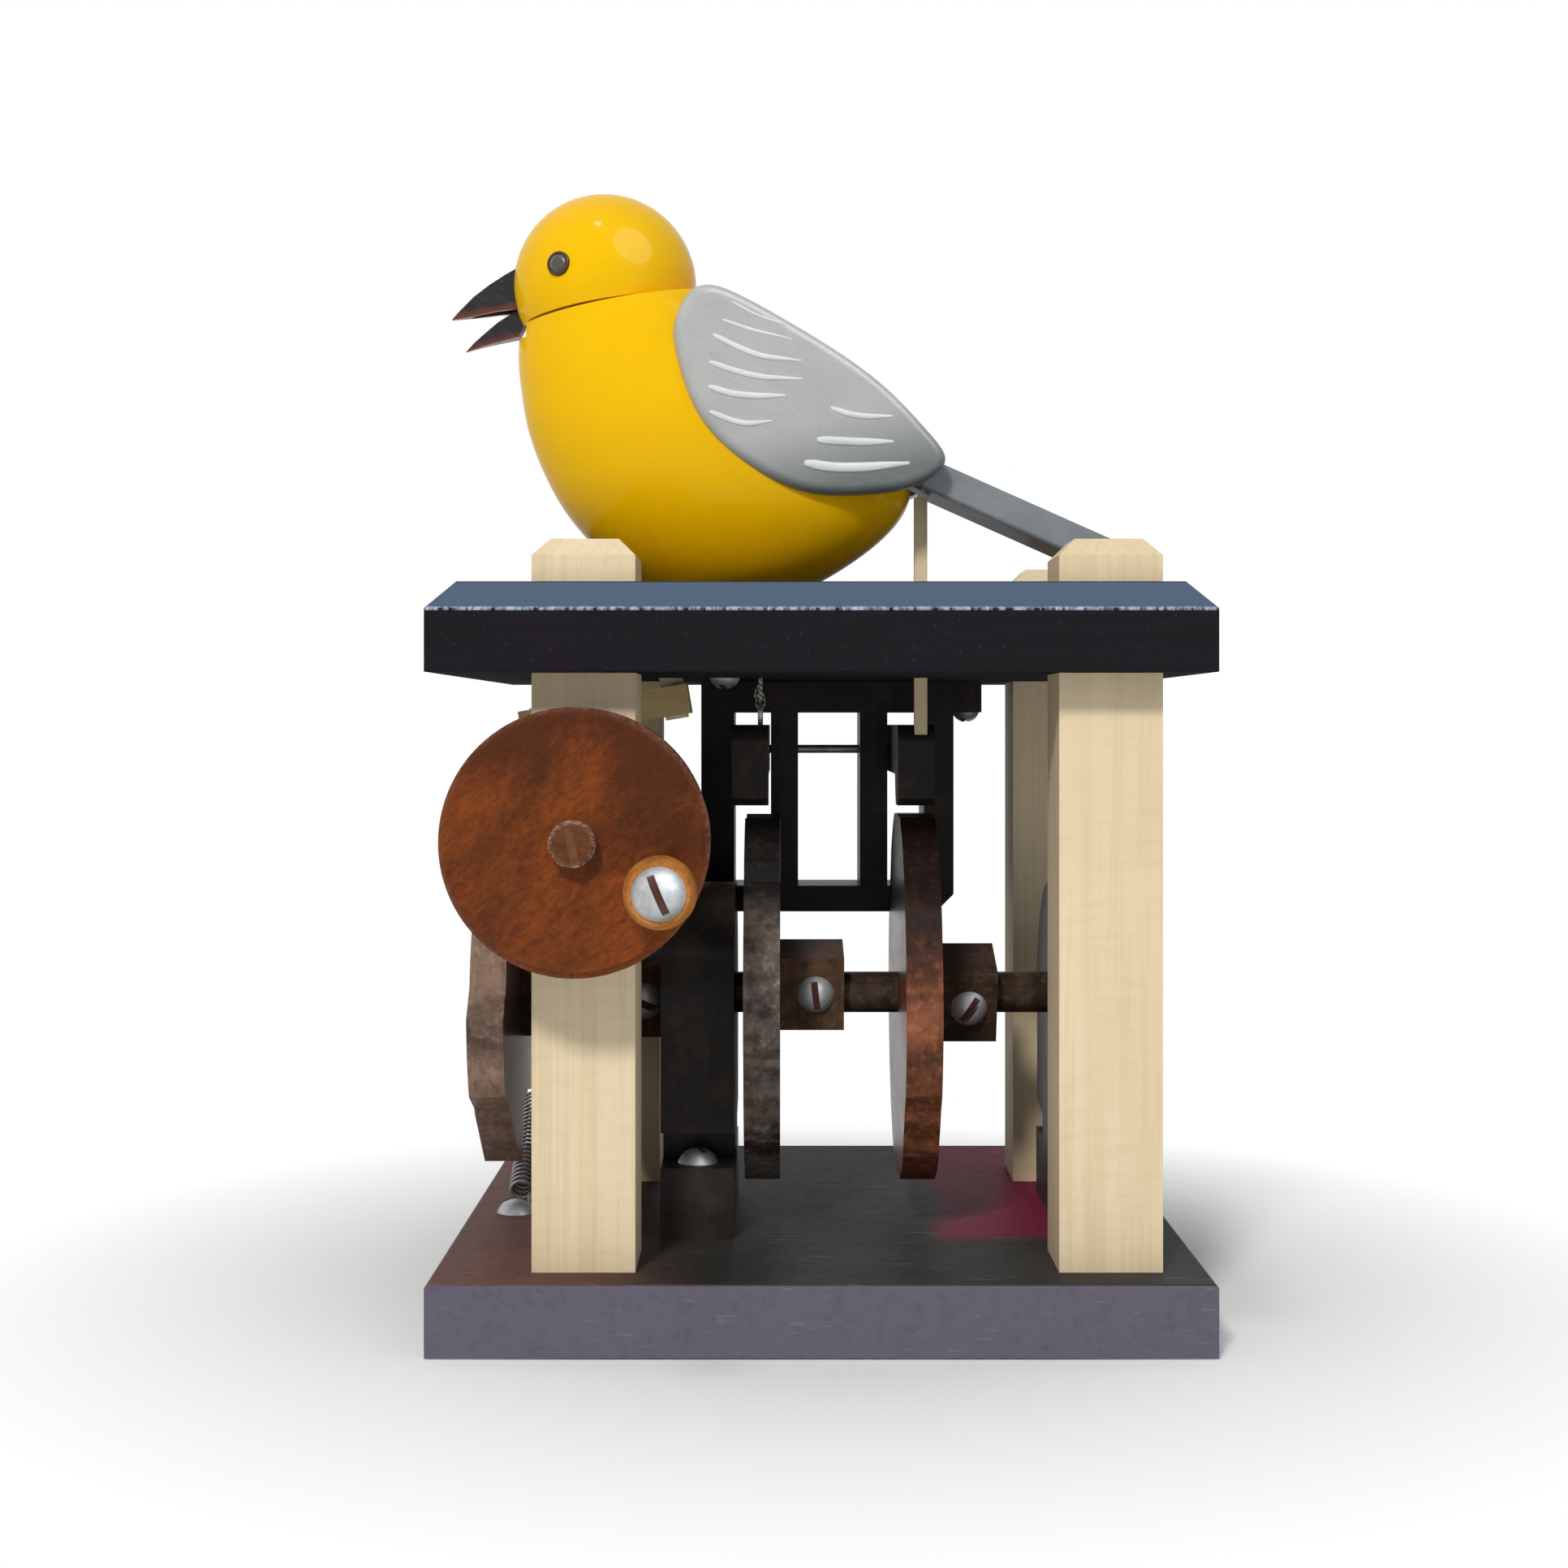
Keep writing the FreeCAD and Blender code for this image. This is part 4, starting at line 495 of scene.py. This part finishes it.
# %% Yellow enamel
def enamel(name, bright, deep, low, high):
    """Gloss paint, laid on by brush. It is painted deep at the height low, as painted shade under
    the belly, and bright from high up.
    """
    paint = Finish(
        name, roughness=0.34, IOR=1.08, Coat_Weight=0.35, Coat_Roughness=0.09, Coat_IOR=1.3
    )
    height = paint.split(paint.place())[2]
    belly_shade = height.between(low, high, 1.0, 0.0)
    brush_way = (0, math.radians(22), 0)
    strokes = paint.noise(paint.place(scale=(0.16, 0.5, 1), turn=brush_way), 420, 3)
    shade_streaks = paint.noise(paint.place(scale=(1, 1, 0.12)), 330, 3, 0.6)
    mottled = paint.noise(paint.place(), 60, 3, 0.55, 0.5)
    # Painted shade: the colour turns deep towards the belly, broken by upright streaks.
    colour = paint.blend(belly_shade * (0.55 + shade_streaks * 0.5), tint(*bright), tint(*deep))
    colour = paint.blend(mottled.between(0.45, 0.7) * 0.2, colour, toned(bright, 0.92))
    colour = paint.blend(strokes.between(0.55, 0.8) * 0.16, colour, tint(255, 212, 20))
    paint.set("Base Color", colour)
    paint.set("Roughness", 0.24 + mottled * 0.14)
    paint.relief(mottled * 0.8 + strokes * 0.1, 0.0007, 0.3)
    return paint.material


finishes["yellow_paint"] = enamel(
    "yellow_enamel", bright=(246, 192, 0), deep=(190, 122, 0), low=0.113, high=0.138
)
print("finish:", finishes["yellow_paint"].name)


# %% Satin grey, white and the eyes
TAIL_SLOPE = 0.4452
TAIL_UNDER = 0.14328
WING_LOW = 0.1315
WING_HIGH = 0.1425


def satin_paint(name, tone, shade, sheen=0.36, coat=0.3, under=None, low=None):
    """Thin, slightly mottled paint. It is painted the under colour on the tail board's underside,
    and the low colour towards a wing's lower edge, where these are given: both are painted shade."""
    paint = Finish(name, roughness=sheen, IOR=1.3, Coat_Weight=coat, Coat_Roughness=0.18)
    mottled = paint.noise(paint.place(), 120, 4, 0.6, 0.4)
    brush_way = (0, math.radians(-28), 0)
    brushed = paint.noise(paint.place(scale=(0.14, 1, 1), turn=brush_way), 520, 3, 0.6)
    pits = paint.noise(paint.place(), 1500, 2, 0.6).between(0.66, 0.74)
    colour = paint.blend(mottled.between(0.4, 0.7) * 0.6, tint(*tone), tint(*shade))
    across, _, height = paint.split(paint.place())
    if under:
        # Painted shade on the tail board's underside.
        raised = height + across * TAIL_SLOPE
        lower = raised.between(TAIL_UNDER + 0.0001, TAIL_UNDER + 0.0009, 1.0, 0.0)
        colour = paint.blend(lower * 0.9, colour, tint(*under))
    if low:
        # Painted shade towards the wing's lower edge.
        raised = height * 0.97 - across * 0.25 + mottled * 0.003
        lower_edge_shade = raised.between(WING_LOW, WING_HIGH, 1.0, 0.0)
        colour = paint.blend(lower_edge_shade * 0.85, colour, tint(*low))
    colour = paint.blend(brushed.between(0.5, 0.8) * 0.25, colour, toned(shade, 0.85))
    colour = paint.blend(pits * 0.3, colour, toned(shade, 0.7))
    paint.set("Base Color", colour)
    paint.set("Roughness", sheen - 0.04 + mottled * 0.14 + pits * 0.1)
    paint.relief(mottled * 0.3 + brushed * 0.5 - pits * 0.3, 0.00016, 0.5)
    return paint.material


finishes["tail_paint"] = satin_paint(
    "tail_grey", (138, 145, 150), (116, 124, 131), 0.45, 0.1, under=(58, 63, 68)
)
finishes["wing_paint"] = satin_paint(
    "wing_grey", (182, 184, 182), (168, 171, 171), coat=0.45, low=(84, 92, 96)
)
finishes["stroke_white"] = satin_paint("stroke_white", (224, 226, 229), (206, 210, 215), 0.4, 0.1)
finishes["eye_rim"] = satin_paint("eye_rim_brown", (74, 48, 26), (44, 28, 16), 0.4)
finishes["eye_paint"] = satin_paint("eye_glass", (76, 68, 58), (44, 38, 32), 0.14, 0.8)
satin_slots = ("tail_paint", "wing_paint", "stroke_white", "eye_rim", "eye_paint")
print("paints:", [finishes[slot].name for slot in satin_slots])


# %% Beak black
def beak_finish(name, tip, rise):
    """Black paint, slate grey along the grain, and rubbed to red-brown wood along the lower edge.
    That edge starts at the tip, an (x, z) point, and climbs by rise per metre."""
    paint = Finish(name, roughness=0.34, IOR=1.25, Coat_Weight=0.25, Coat_Roughness=0.15)
    slant = (0, math.radians(-34), 0)
    streaks = paint.noise(paint.place(scale=(0.12, 1, 1), turn=slant), 1100, 4, 0.65)
    patches = paint.noise(paint.place(), 260, 4, 0.6, 0.4)
    across, _, height = paint.split(paint.place())
    above = height - ((across - tip[0]) * rise + tip[1])
    colour = paint.blend(streaks.between(0.5, 0.74) * 0.5, tint(34, 33, 34), tint(66, 67, 69))
    under = (above + (patches - 0.5) * 0.002).between(0.0004, 0.0014, 1.0, 0.0)
    colour = paint.blend(under * 0.85, colour, tint(104, 52, 40))
    colour = paint.blend(patches.between(0.62, 0.72) * 0.5, colour, tint(92, 58, 46))
    paint.set("Base Color", colour)
    paint.set("Roughness", 0.26 + streaks * 0.18)
    paint.relief(streaks * 0.7 + patches * 0.3, 0.00008, 0.4)
    return paint.material


finishes["beak_paint"] = beak_finish("upper_beak_black", (-0.0626, 0.165), 0.127)
finishes["jaw_paint"] = beak_finish("lower_beak_black", (-0.0602, 0.1595), 0.24)
print("finishes:", finishes["beak_paint"].name, finishes["jaw_paint"].name)

# %% [markdown]
# ## Steel and thread
# Screws, pins and the spring are bright zinc-plated steel with a soft haze. The pull
# thread is a pale twisted cotton, whose two strands show as slanting ribs.


# %% Steel and thread
SLOT_EDGE = 0.0005


def bright_steel(name, tone, metal=0.8, slots=()):
    """Zinc-plated steel, hazy, painted brown and matt in its corners and in its slots, partly as
    painted shade and partly as grime. Each slot is (x, z, lean in degrees, half its length)."""
    steel = Finish(name, roughness=0.34)
    haze = steel.noise(steel.place(), 520, 4, 0.65)
    scratch = steel.noise(steel.place(scale=(0.1, 1, 1), turn=(0, math.radians(35), 0)), 3200, 2)
    # Painted shade and grime: corners and slots are painted dark brown and made matt.
    dirt_and_shade = steel.crevice(0.0025)
    across, _, height = steel.split(steel.place())
    for x, z, lean, half in slots:
        right, up = math.cos(math.radians(lean)), math.sin(math.radians(lean))
        beside = abs((across - x) * right + (height - z) * up)
        along = abs((across - x) * up - (height - z) * right)
        slot = beside.between(SLOT_EDGE, SLOT_EDGE + 0.0001, 1.0, 0.0)
        dirt_and_shade = dirt_and_shade.most(slot * along.between(half - 0.0003, half, 1.0, 0.0))
    colour = steel.blend(haze.between(0.42, 0.72) * 0.5, tint(*tone), toned(tone, 0.62))
    colour = steel.blend(dirt_and_shade, colour, tint(82, 50, 38))
    steel.set("Base Color", colour)
    steel.set("Metallic", metal - dirt_and_shade * metal)
    steel.set("Roughness", 0.36 + haze * 0.22 + scratch * 0.06 + dirt_and_shade * 0.3)
    steel.relief(haze * 0.5 + scratch * 0.15, 0.00008, 0.6)
    return steel.material


PLIES = 2.0
TWIST = 7000.0  # radians of twist in a metre of thread


def cotton(name, tone, centre):
    """Two-ply thread that runs straight up through centre, with ribs that wind round it."""
    thread = Finish(name, roughness=0.85, Sheen_Weight=0.2)
    across, back, height = thread.split(thread.place())
    angle = (back - centre[1]).bearing(across - centre[0])
    ribs = (angle * PLIES + height * TWIST).sine().between(-0.9, 0.6)
    fibres = thread.noise(thread.place(scale=(1, 1, 0.4)), 5200, 3, 0.7)
    colour = thread.blend(fibres * 0.6, tint(*tone), toned(tone, 0.78))
    # Painted shade: the grooves between the ribs are painted darker.
    colour = thread.blend(ribs * -1.0 + 1.0, colour, toned(tone, 0.5))
    thread.set("Base Color", colour)
    thread.relief(ribs + fibres * 0.3, 0.00012, 0.7)
    return thread.material


THREAD_AT = Vector((-0.0097, -0.008, 0))
KNOB_SCREW = (-0.0234, 0.0716, 23, 0.0031)
HUB_SCREWS = [
    (-0.00025, 0.0496, 7, 0.0026), (0.02585, 0.0471, -35, 0.0026),
    (-0.04473, 0.0514, 50, 0.0026), (-0.0295, 0.0484, 65, 0.0026),
]
# The hub screws sit in shade, so their copy is painted lighter than the other steel, as painted
# light.
finishes["steel"] = bright_steel("zinc_steel", (182, 184, 187))
finishes["knob_steel"] = bright_steel("bright_knob_steel", (196, 198, 200), 0.7, [KNOB_SCREW])
finishes["hub_steel"] = bright_steel("bright_hub_steel", (216, 219, 224), 0.55, HUB_SCREWS)
finishes["thread"] = cotton("cotton_thread", (214, 214, 200), THREAD_AT)
print("finishes so far:", len(finishes))

# %% Give every solid its finish
own_finish = {
    "base_plate": "base_lacquer",
    "head_cam": "cam_grey",
    "beak_cam": "cam_slate",
    "tail_cam": "cam_copper",
    "camshaft": "shaft",
    "crank_shaft": "shaft_end",
    "crank_wedge": "wedge",
    "beak_lower": "jaw_paint",
    "wing_front": "wing_paint",
    "wing_rear": "wing_paint",
    "neck_arm": "shaded_maple",
    "hub_set_screws": "hub_steel",
    "knob_screw": "knob_steel",
    "tail_board": "tail_paint",
}
slot_of = {part["node"]: part["material_slot"] for part in frame["record"]["subparts"]}
for name, solid in nodes.items():
    solid.data.materials.clear()
    solid.data.materials.append(finishes[own_finish.get(name, slot_of[name])])
print("dressed", len(slot_of), "solids")

# %% [markdown]
# ## Tools for new pieces
# Every new piece is picked, smoothed and set down in the same way, so each of these
# steps gets a name. `wire` draws a round line through points. It makes the brush
# strokes, the spring and the knot.


# %% Tools for new pieces
def pick(*pieces):
    """Selects these pieces alone. The first one is the active piece."""
    bpy.ops.object.select_all(action="DESELECT")
    for piece in pieces:
        piece.select_set(True)
    bpy.context.view_layer.objects.active = pieces[0]


def face_outward():
    """Turns every face of the active piece outward, and shades the piece smooth."""
    bpy.ops.object.mode_set(mode="EDIT")
    bpy.ops.mesh.select_all(action="SELECT")
    bpy.ops.mesh.normals_make_consistent(inside=False)
    bpy.ops.object.mode_set(mode="OBJECT")
    bpy.ops.object.shade_smooth()


def set_down(piece, turn, place):
    """Turns and places a piece, and leaves its object at the origin with its place in its mesh."""
    piece.matrix_world = Matrix.Translation(place) @ turn
    pick(piece)
    bpy.ops.object.transform_apply(location=True, rotation=True, scale=True)


def wire(name, points, radius, swell=None, steps=3):
    """Round wire through the points, as a mesh. Swell gives its thickness at each point as a share
    of the radius, and steps says how many straight pieces make one bend."""
    bpy.ops.curve.primitive_nurbs_path_add(radius=0.01, location=(0, 0, 0))
    piece = bpy.context.object
    piece.name = name
    spline = piece.data.splines[0]
    spline.points.add(len(points) - len(spline.points))
    for point, spot, share in zip(spline.points, points, swell or [1.0] * len(points)):
        point.co = (*spot, 1)
        point.radius = share
    spline.order_u = 3
    spline.use_endpoint_u = True
    piece.data.bevel_depth = radius
    piece.data.bevel_resolution = 3
    piece.data.resolution_u = steps
    piece.data.use_fill_caps = True
    pick(piece)
    bpy.ops.object.convert(target="MESH")
    bpy.ops.object.shade_smooth()
    return bpy.context.object


print("tools for new pieces ready")

# %% [markdown]
# ## Eyes
# Each eye is a small glossy bead set in the head, with a dark rim round it. A round
# face is extruded ring by ring, as a turner would cut it, and then turned to look out
# along the head's radius. It takes the place of the plain disc in the solids.


# %% Turn the eyes
BIRD_MIDDLE = -0.010
HEAD = Vector((-0.0363, BIRD_MIDDLE, 0.1707))
EYE_OUT = 0.0155  # from the middle of the head to the bead
EYE_AIM = (-6.7, 14.03, 1.3)
EYE_R = 0.00205
GLASS_SHARE = 0.74
EYE_PROFILE = [
    (1.0, -1.0), (1.0, 0.16), (0.95, 0.26), (0.84, 0.28), (0.77, 0.2), (GLASS_SHARE, 0.19),
    (0.68, 0.3), (0.54, 0.42), (0.36, 0.5), (0.18, 0.54), (0.05, 0.55),
]


def turned(name, profile, size):
    """Round piece off a lathe: each (radius, height) in turn is one more extruded ring."""
    radius, height = profile[0]
    bpy.ops.mesh.primitive_circle_add(
        vertices=48, radius=radius * size, fill_type="NGON", location=(0, 0, height * size)
    )
    piece = bpy.context.object
    piece.name = name
    bpy.ops.object.transform_apply(location=True, rotation=True, scale=True)
    bpy.ops.object.mode_set(mode="EDIT")
    bpy.ops.mesh.select_all(action="SELECT")
    for wide, high in profile[1:]:
        step = {"value": (0, 0, (high - height) * size)}
        bpy.ops.mesh.extrude_region_move(TRANSFORM_OT_translate=step)
        ratio = wide / radius
        bpy.ops.transform.resize(value=(ratio, ratio, 1), center_override=(0, 0, high * size))
        radius, height = wide, high
    face_outward()
    return piece


for side, name in ((-1, "eye_front"), (1, "eye_rear")):
    eye = turned(name, EYE_PROFILE, EYE_R)
    for finish in ("eye_rim", "eye_paint"):
        eye.data.materials.append(finishes[finish])
    for face in eye.data.polygons:
        from_middle = math.hypot(face.center.x, face.center.y)
        face.material_index = int(from_middle < GLASS_SHARE * EYE_R)
    ahead, aside, up = EYE_AIM
    outward = Vector((ahead, side * aside, up)).normalized()
    turn = outward.to_track_quat("Z", "Y").to_matrix().to_4x4()
    set_down(eye, turn, HEAD + outward * EYE_OUT)
    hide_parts("eyes")
    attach(eye, "head")
    print(name, "faces:", len(eye.data.polygons))

# %% [markdown]
# ## Feather strokes
# Nine strokes of thick white paint stand a little proud of each wing. Each is a short
# wire that swells and tapers like the mark of a loaded brush, flattened onto the
# wing's face. The rear wing's strokes are the same, mirrored.

# %% Paint the strokes
WING_HINGE = Vector((-0.022, -0.028, 0))
WING_TOE = math.radians(10.8)
WING_FACE = -0.0044
MM_PER_M = 1000
RADIUS_RATIO = 1.4  # a stroke's width over its wire's radius
FLATNESS = 0.45
# Each stroke is its width, and then (x, z) points, all in millimetres.
STROKES = [
    (0.3, [(-14.8, 164.5), (-11.0, 162.5), (-6.0, 161.0)]),
    (0.4, [(-16.4, 161.5), (-11.7, 160.0), (-4.8, 158.7)]),
    (0.7, [(-17.9, 159.0), (-14.4, 157.3), (-10.1, 155.7), (-3.3, 155.2)]),
    (0.7, [(-18.6, 154.6), (-14.7, 153.3), (-10.1, 152.3), (-3.1, 152.2)]),
    (0.8, [(-18.7, 150.6), (-15.2, 149.5), (-11.2, 149.2), (-6.0, 149.4)]),
    (0.7, [(-18.5, 146.5), (-15.2, 145.2), (-12.5, 144.6), (-8.2, 145.2)]),
    (0.7, [(1.6, 147.6), (4.7, 146.6), (7.8, 146.3), (12.1, 146.5)]),
    (1.0, [(-0.7, 142.3), (2.7, 142.2), (6.8, 142.1), (12.2, 142.3)]),
    (1.2, [(-2.8, 138.5), (1.7, 137.8), (6.8, 137.9), (14.9, 138.8)]),
]


def brush_stroke(width, points):
    """One stroke as a tapered wire through its points, in the plane y = 0."""
    first, *middle, last = [Vector((x / MM_PER_M, 0, z / MM_PER_M)) for x, z in points]
    spots = [first, first.lerp(middle[0], 0.25), *middle, middle[-1].lerp(last, 0.5), last]
    swell = [0.5, 1.0] + [1.0] * (len(spots) - 4) + [0.8, 0.3]
    return wire("stroke", spots, width / (RADIUS_RATIO * MM_PER_M), swell, steps=8)


def feather_strokes(name, mirror):
    """All strokes of one wing as one piece, flattened onto the wing and turned with it."""
    pick(*[brush_stroke(width, points) for width, points in STROKES])
    bpy.ops.object.join()
    joined = bpy.context.object
    joined.name = name
    on_face = Matrix.Translation((0, WING_FACE, 0)) @ Matrix.Diagonal((1, FLATNESS, 1, 1))
    hinge = Vector((WING_HINGE.x, 0, 0))
    toe_in = Matrix.Rotation(WING_TOE, 4, "Z")
    toed = Matrix.Translation(hinge) @ toe_in @ Matrix.Translation(-hinge)
    placed = Matrix.Translation((0, WING_HINGE.y, 0)) @ toed @ on_face
    if mirror:
        flipped = Matrix.Translation((0, 2 * BIRD_MIDDLE, 0)) @ Matrix.Diagonal((1, -1, 1, 1))
        placed = flipped @ placed
    joined.data.transform(placed)
    face_outward()
    joined.data.materials.clear()
    joined.data.materials.append(finishes["stroke_white"])
    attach(joined, "frame")
    print(name, "strokes:", len(STROKES), "faces:", len(joined.data.polygons))


feather_strokes("feather_strokes_front", False)
feather_strokes("feather_strokes_rear", True)

# %% [markdown]
# ## Return spring
# A close-wound wire spring pulls the rocker's nose onto the third cam. It is one
# wire: a hook round the base screw, the coils, and a hook into the nose. As the nose
# swings in, the real spring draws shorter.

# %% Wind the spring
SPRING_FOOT = Vector((-0.052, 0.00025, 0.01345))
SPRING_TOP = Vector((-0.052, 0.02195, 0.0263))
SCREW_FOOT = Vector((-0.052, -0.0055, 0.0117))
NOSE_POINT = Vector((-0.052, 0.0229, 0.0289))
COIL_R = 0.00175
WIRE_R = 0.0003
TURNS = 23
STEPS = 14  # points in one turn
HOOK_R = 0.0021
HOOK_DEGREES = range(-200, 60, 26)
TOP_BEND = [(0.0006, 0.0008), (0.001, 0.0)]  # metres along the spring, and to its side

axis = (SPRING_TOP - SPRING_FOOT).normalized()
side_way = Vector((1, 0, 0))
upward = axis.cross(side_way)
length = (SPRING_TOP - SPRING_FOOT).length
hook_foot = []
for angle in map(math.radians, HOOK_DEGREES):
    hook_foot.append(SCREW_FOOT + Vector((math.cos(angle), math.sin(angle), 0)) * HOOK_R)
coils = []
for n in range(TURNS * STEPS + 1):
    angle = n * math.tau / STEPS
    spoke = side_way * math.cos(angle) + upward * math.sin(angle)
    coils.append(SPRING_FOOT + axis * (length * n / (TURNS * STEPS)) + spoke * COIL_R)
top_bend = [SPRING_TOP + axis * along + side_way * beside for along, beside in TOP_BEND]
top_bend.append(NOSE_POINT)
spring = wire("return_spring", hook_foot + coils + top_bend, WIRE_R)
spring.data.materials.append(finishes["steel"])
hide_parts("head_return_spring")
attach(spring, "frame")
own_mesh(spring)
print("spring turns:", TURNS, "faces:", len(spring.data.polygons))

# %% [markdown]
# ## Knot on the pull thread
# The thread is looped through the screw eye and tied to itself just above it. The two
# sides of the loop close in an upturned V, two turns hold them, and a short end hangs.
# All of it is one fine strand, so one `wire` makes the knot.

# %% Tie the knot
KNOT_FOOT = 0.1019
KNOT_R = 0.00038
KNOT_WIRE = 0.00012
KNOT_POINTS = 12
KNOT_TURN = 0.9  # radians from one point to the next
KNOT_RISE = 0.00004
# One side of the loop, from the knot down: (distance from the thread, height).
LOOP_SIDE = [
    (0.0, KNOT_FOOT), (0.0003, 0.1012), (0.0007, 0.1001), (0.0008, 0.0991), (0.0004, 0.0981)
]

loop_points = [THREAD_AT + Vector((-wide, 0, height)) for wide, height in LOOP_SIDE]
loop_points += [THREAD_AT + Vector((wide, 0, height)) for wide, height in reversed(LOOP_SIDE)]
knot_points = []
for n in range(KNOT_POINTS):
    spoke = Vector((math.cos(n * KNOT_TURN), math.sin(n * KNOT_TURN), 0)) * KNOT_R
    knot_points.append(THREAD_AT + spoke + Vector((0, 0, KNOT_FOOT + n * KNOT_RISE)))
end_points = [
    Vector((-0.0101, -0.0083, 0.1023)), Vector((-0.0104, -0.0084, 0.1018)),
    Vector((-0.0106, -0.0084, 0.1010)), Vector((-0.0107, -0.0083, 0.1002)),
]
knot = wire("thread_knot", loop_points + knot_points + end_points, KNOT_WIRE)
knot.data.materials.append(finishes["thread"])
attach(knot, "beak_thread")
print("knot faces:", len(knot.data.polygons))

# %% [markdown]
# ## Table and light
# A pale table and a soft key from the upper left, as by a window, with fill from the
# rest of the room. The table fades into the white behind it, and keeps the shadow
# under the stand.


# %% The table
TABLE_R = 6
TABLE_DROP = 0.0002
FADE_FROM = 0.068
FADE_TO = 0.15
WHITE = (1, 1, 1, 1)


def table_finish():
    """Pale table. Where a camera looks at it far from the toy, it glows as white as the wall."""
    pale = Finish("pale_table", roughness=0.9)
    reach = pale.node("ShaderNodeVectorMath", {"operation": "LENGTH"}, {0: pale.place()}, out=1)
    pale.set("Base Color", tint(250, 250, 250))
    glow = pale.node("ShaderNodeEmission", None, {0: WHITE, 1: 1.0})
    far = reach.between(FADE_FROM, FADE_TO) * pale.seen()
    near = Signal(pale, pale.surface.outputs[0])
    both = pale.node("ShaderNodeMixShader", None, {0: far, 1: near, 2: glow})
    pale.join(both, pale.tree.nodes["Material Output"].inputs[0])
    return pale.material


bpy.ops.mesh.primitive_circle_add(
    vertices=96, radius=TABLE_R, fill_type="NGON", location=(0, 0, -TABLE_DROP)
)
table = bpy.context.object
table.name = "table"
table.data.materials.append(table_finish())
print("table is", round(table.dimensions.x, 2), "m wide")

# %% The room's own light
ROOM_TINT = (0.9, 0.95, 1.0, 1)
ROOM_LIGHT = 0.3

world = bpy.data.worlds.new("room")
bpy.context.scene.world = world
world.use_nodes = True
room = Web(world.node_tree)
ground = room.tree.nodes["Background"]
room.join(ROOM_TINT, ground.inputs[0])
room.join(ROOM_LIGHT, ground.inputs[1])
wall = room.node("ShaderNodeBackground", None, {0: WHITE, 1: 1.0})
ambient = Signal(room, ground.outputs[0])
either = room.node("ShaderNodeMixShader", None, {0: room.seen(), 1: ambient, 2: wall})
room.join(either, room.tree.nodes["World Output"].inputs[0])
print("world:", world.name)


# %% Lamps
def soft_lamp(name, place, target, size, power, colour):
    """Round area lamp that looks from its place at the target."""
    bpy.ops.object.light_add(type="AREA", location=place)
    lamp = bpy.context.object
    lamp.name = name
    lamp.data.shape = "DISK"
    lamp.data.size = size
    lamp.data.energy = power
    lamp.data.color = colour
    lamp.rotation_euler = (Vector(target) - Vector(place)).to_track_quat("-Z", "Y").to_euler()
    return lamp


WARM = (1.0, 0.97, 0.92)
COOL = (0.92, 0.96, 1.0)
OVERCAST = (0.95, 0.98, 1.0)
SKY_BLUE = (0.9, 0.95, 1.0)
MIDDLE = (0, 0, 0.1)
key = soft_lamp("key", (-0.37, -1.29, 1.05), MIDDLE, 0.25, 15.5, WARM)
key.visible_glossy = False
fill = soft_lamp("fill", (1.1, -1.2, 0.5), (0, 0, 0.08), 1.0, 1.5, COOL)
overhead = soft_lamp("overhead", (-0.16, -0.38, 1.45), (-0.03, 0, 0.13), 0.14, 1.6, OVERCAST)
sky = soft_lamp("sky", (0.62, -0.62, 0.98), (0, 0, 0.13), 1.0, 15, SKY_BLUE)
sky.visible_diffuse = False
bpy.ops.object.select_all(action="DESELECT")
print("lamps:", [lamp.name for lamp in (key, fill, overhead, sky)])
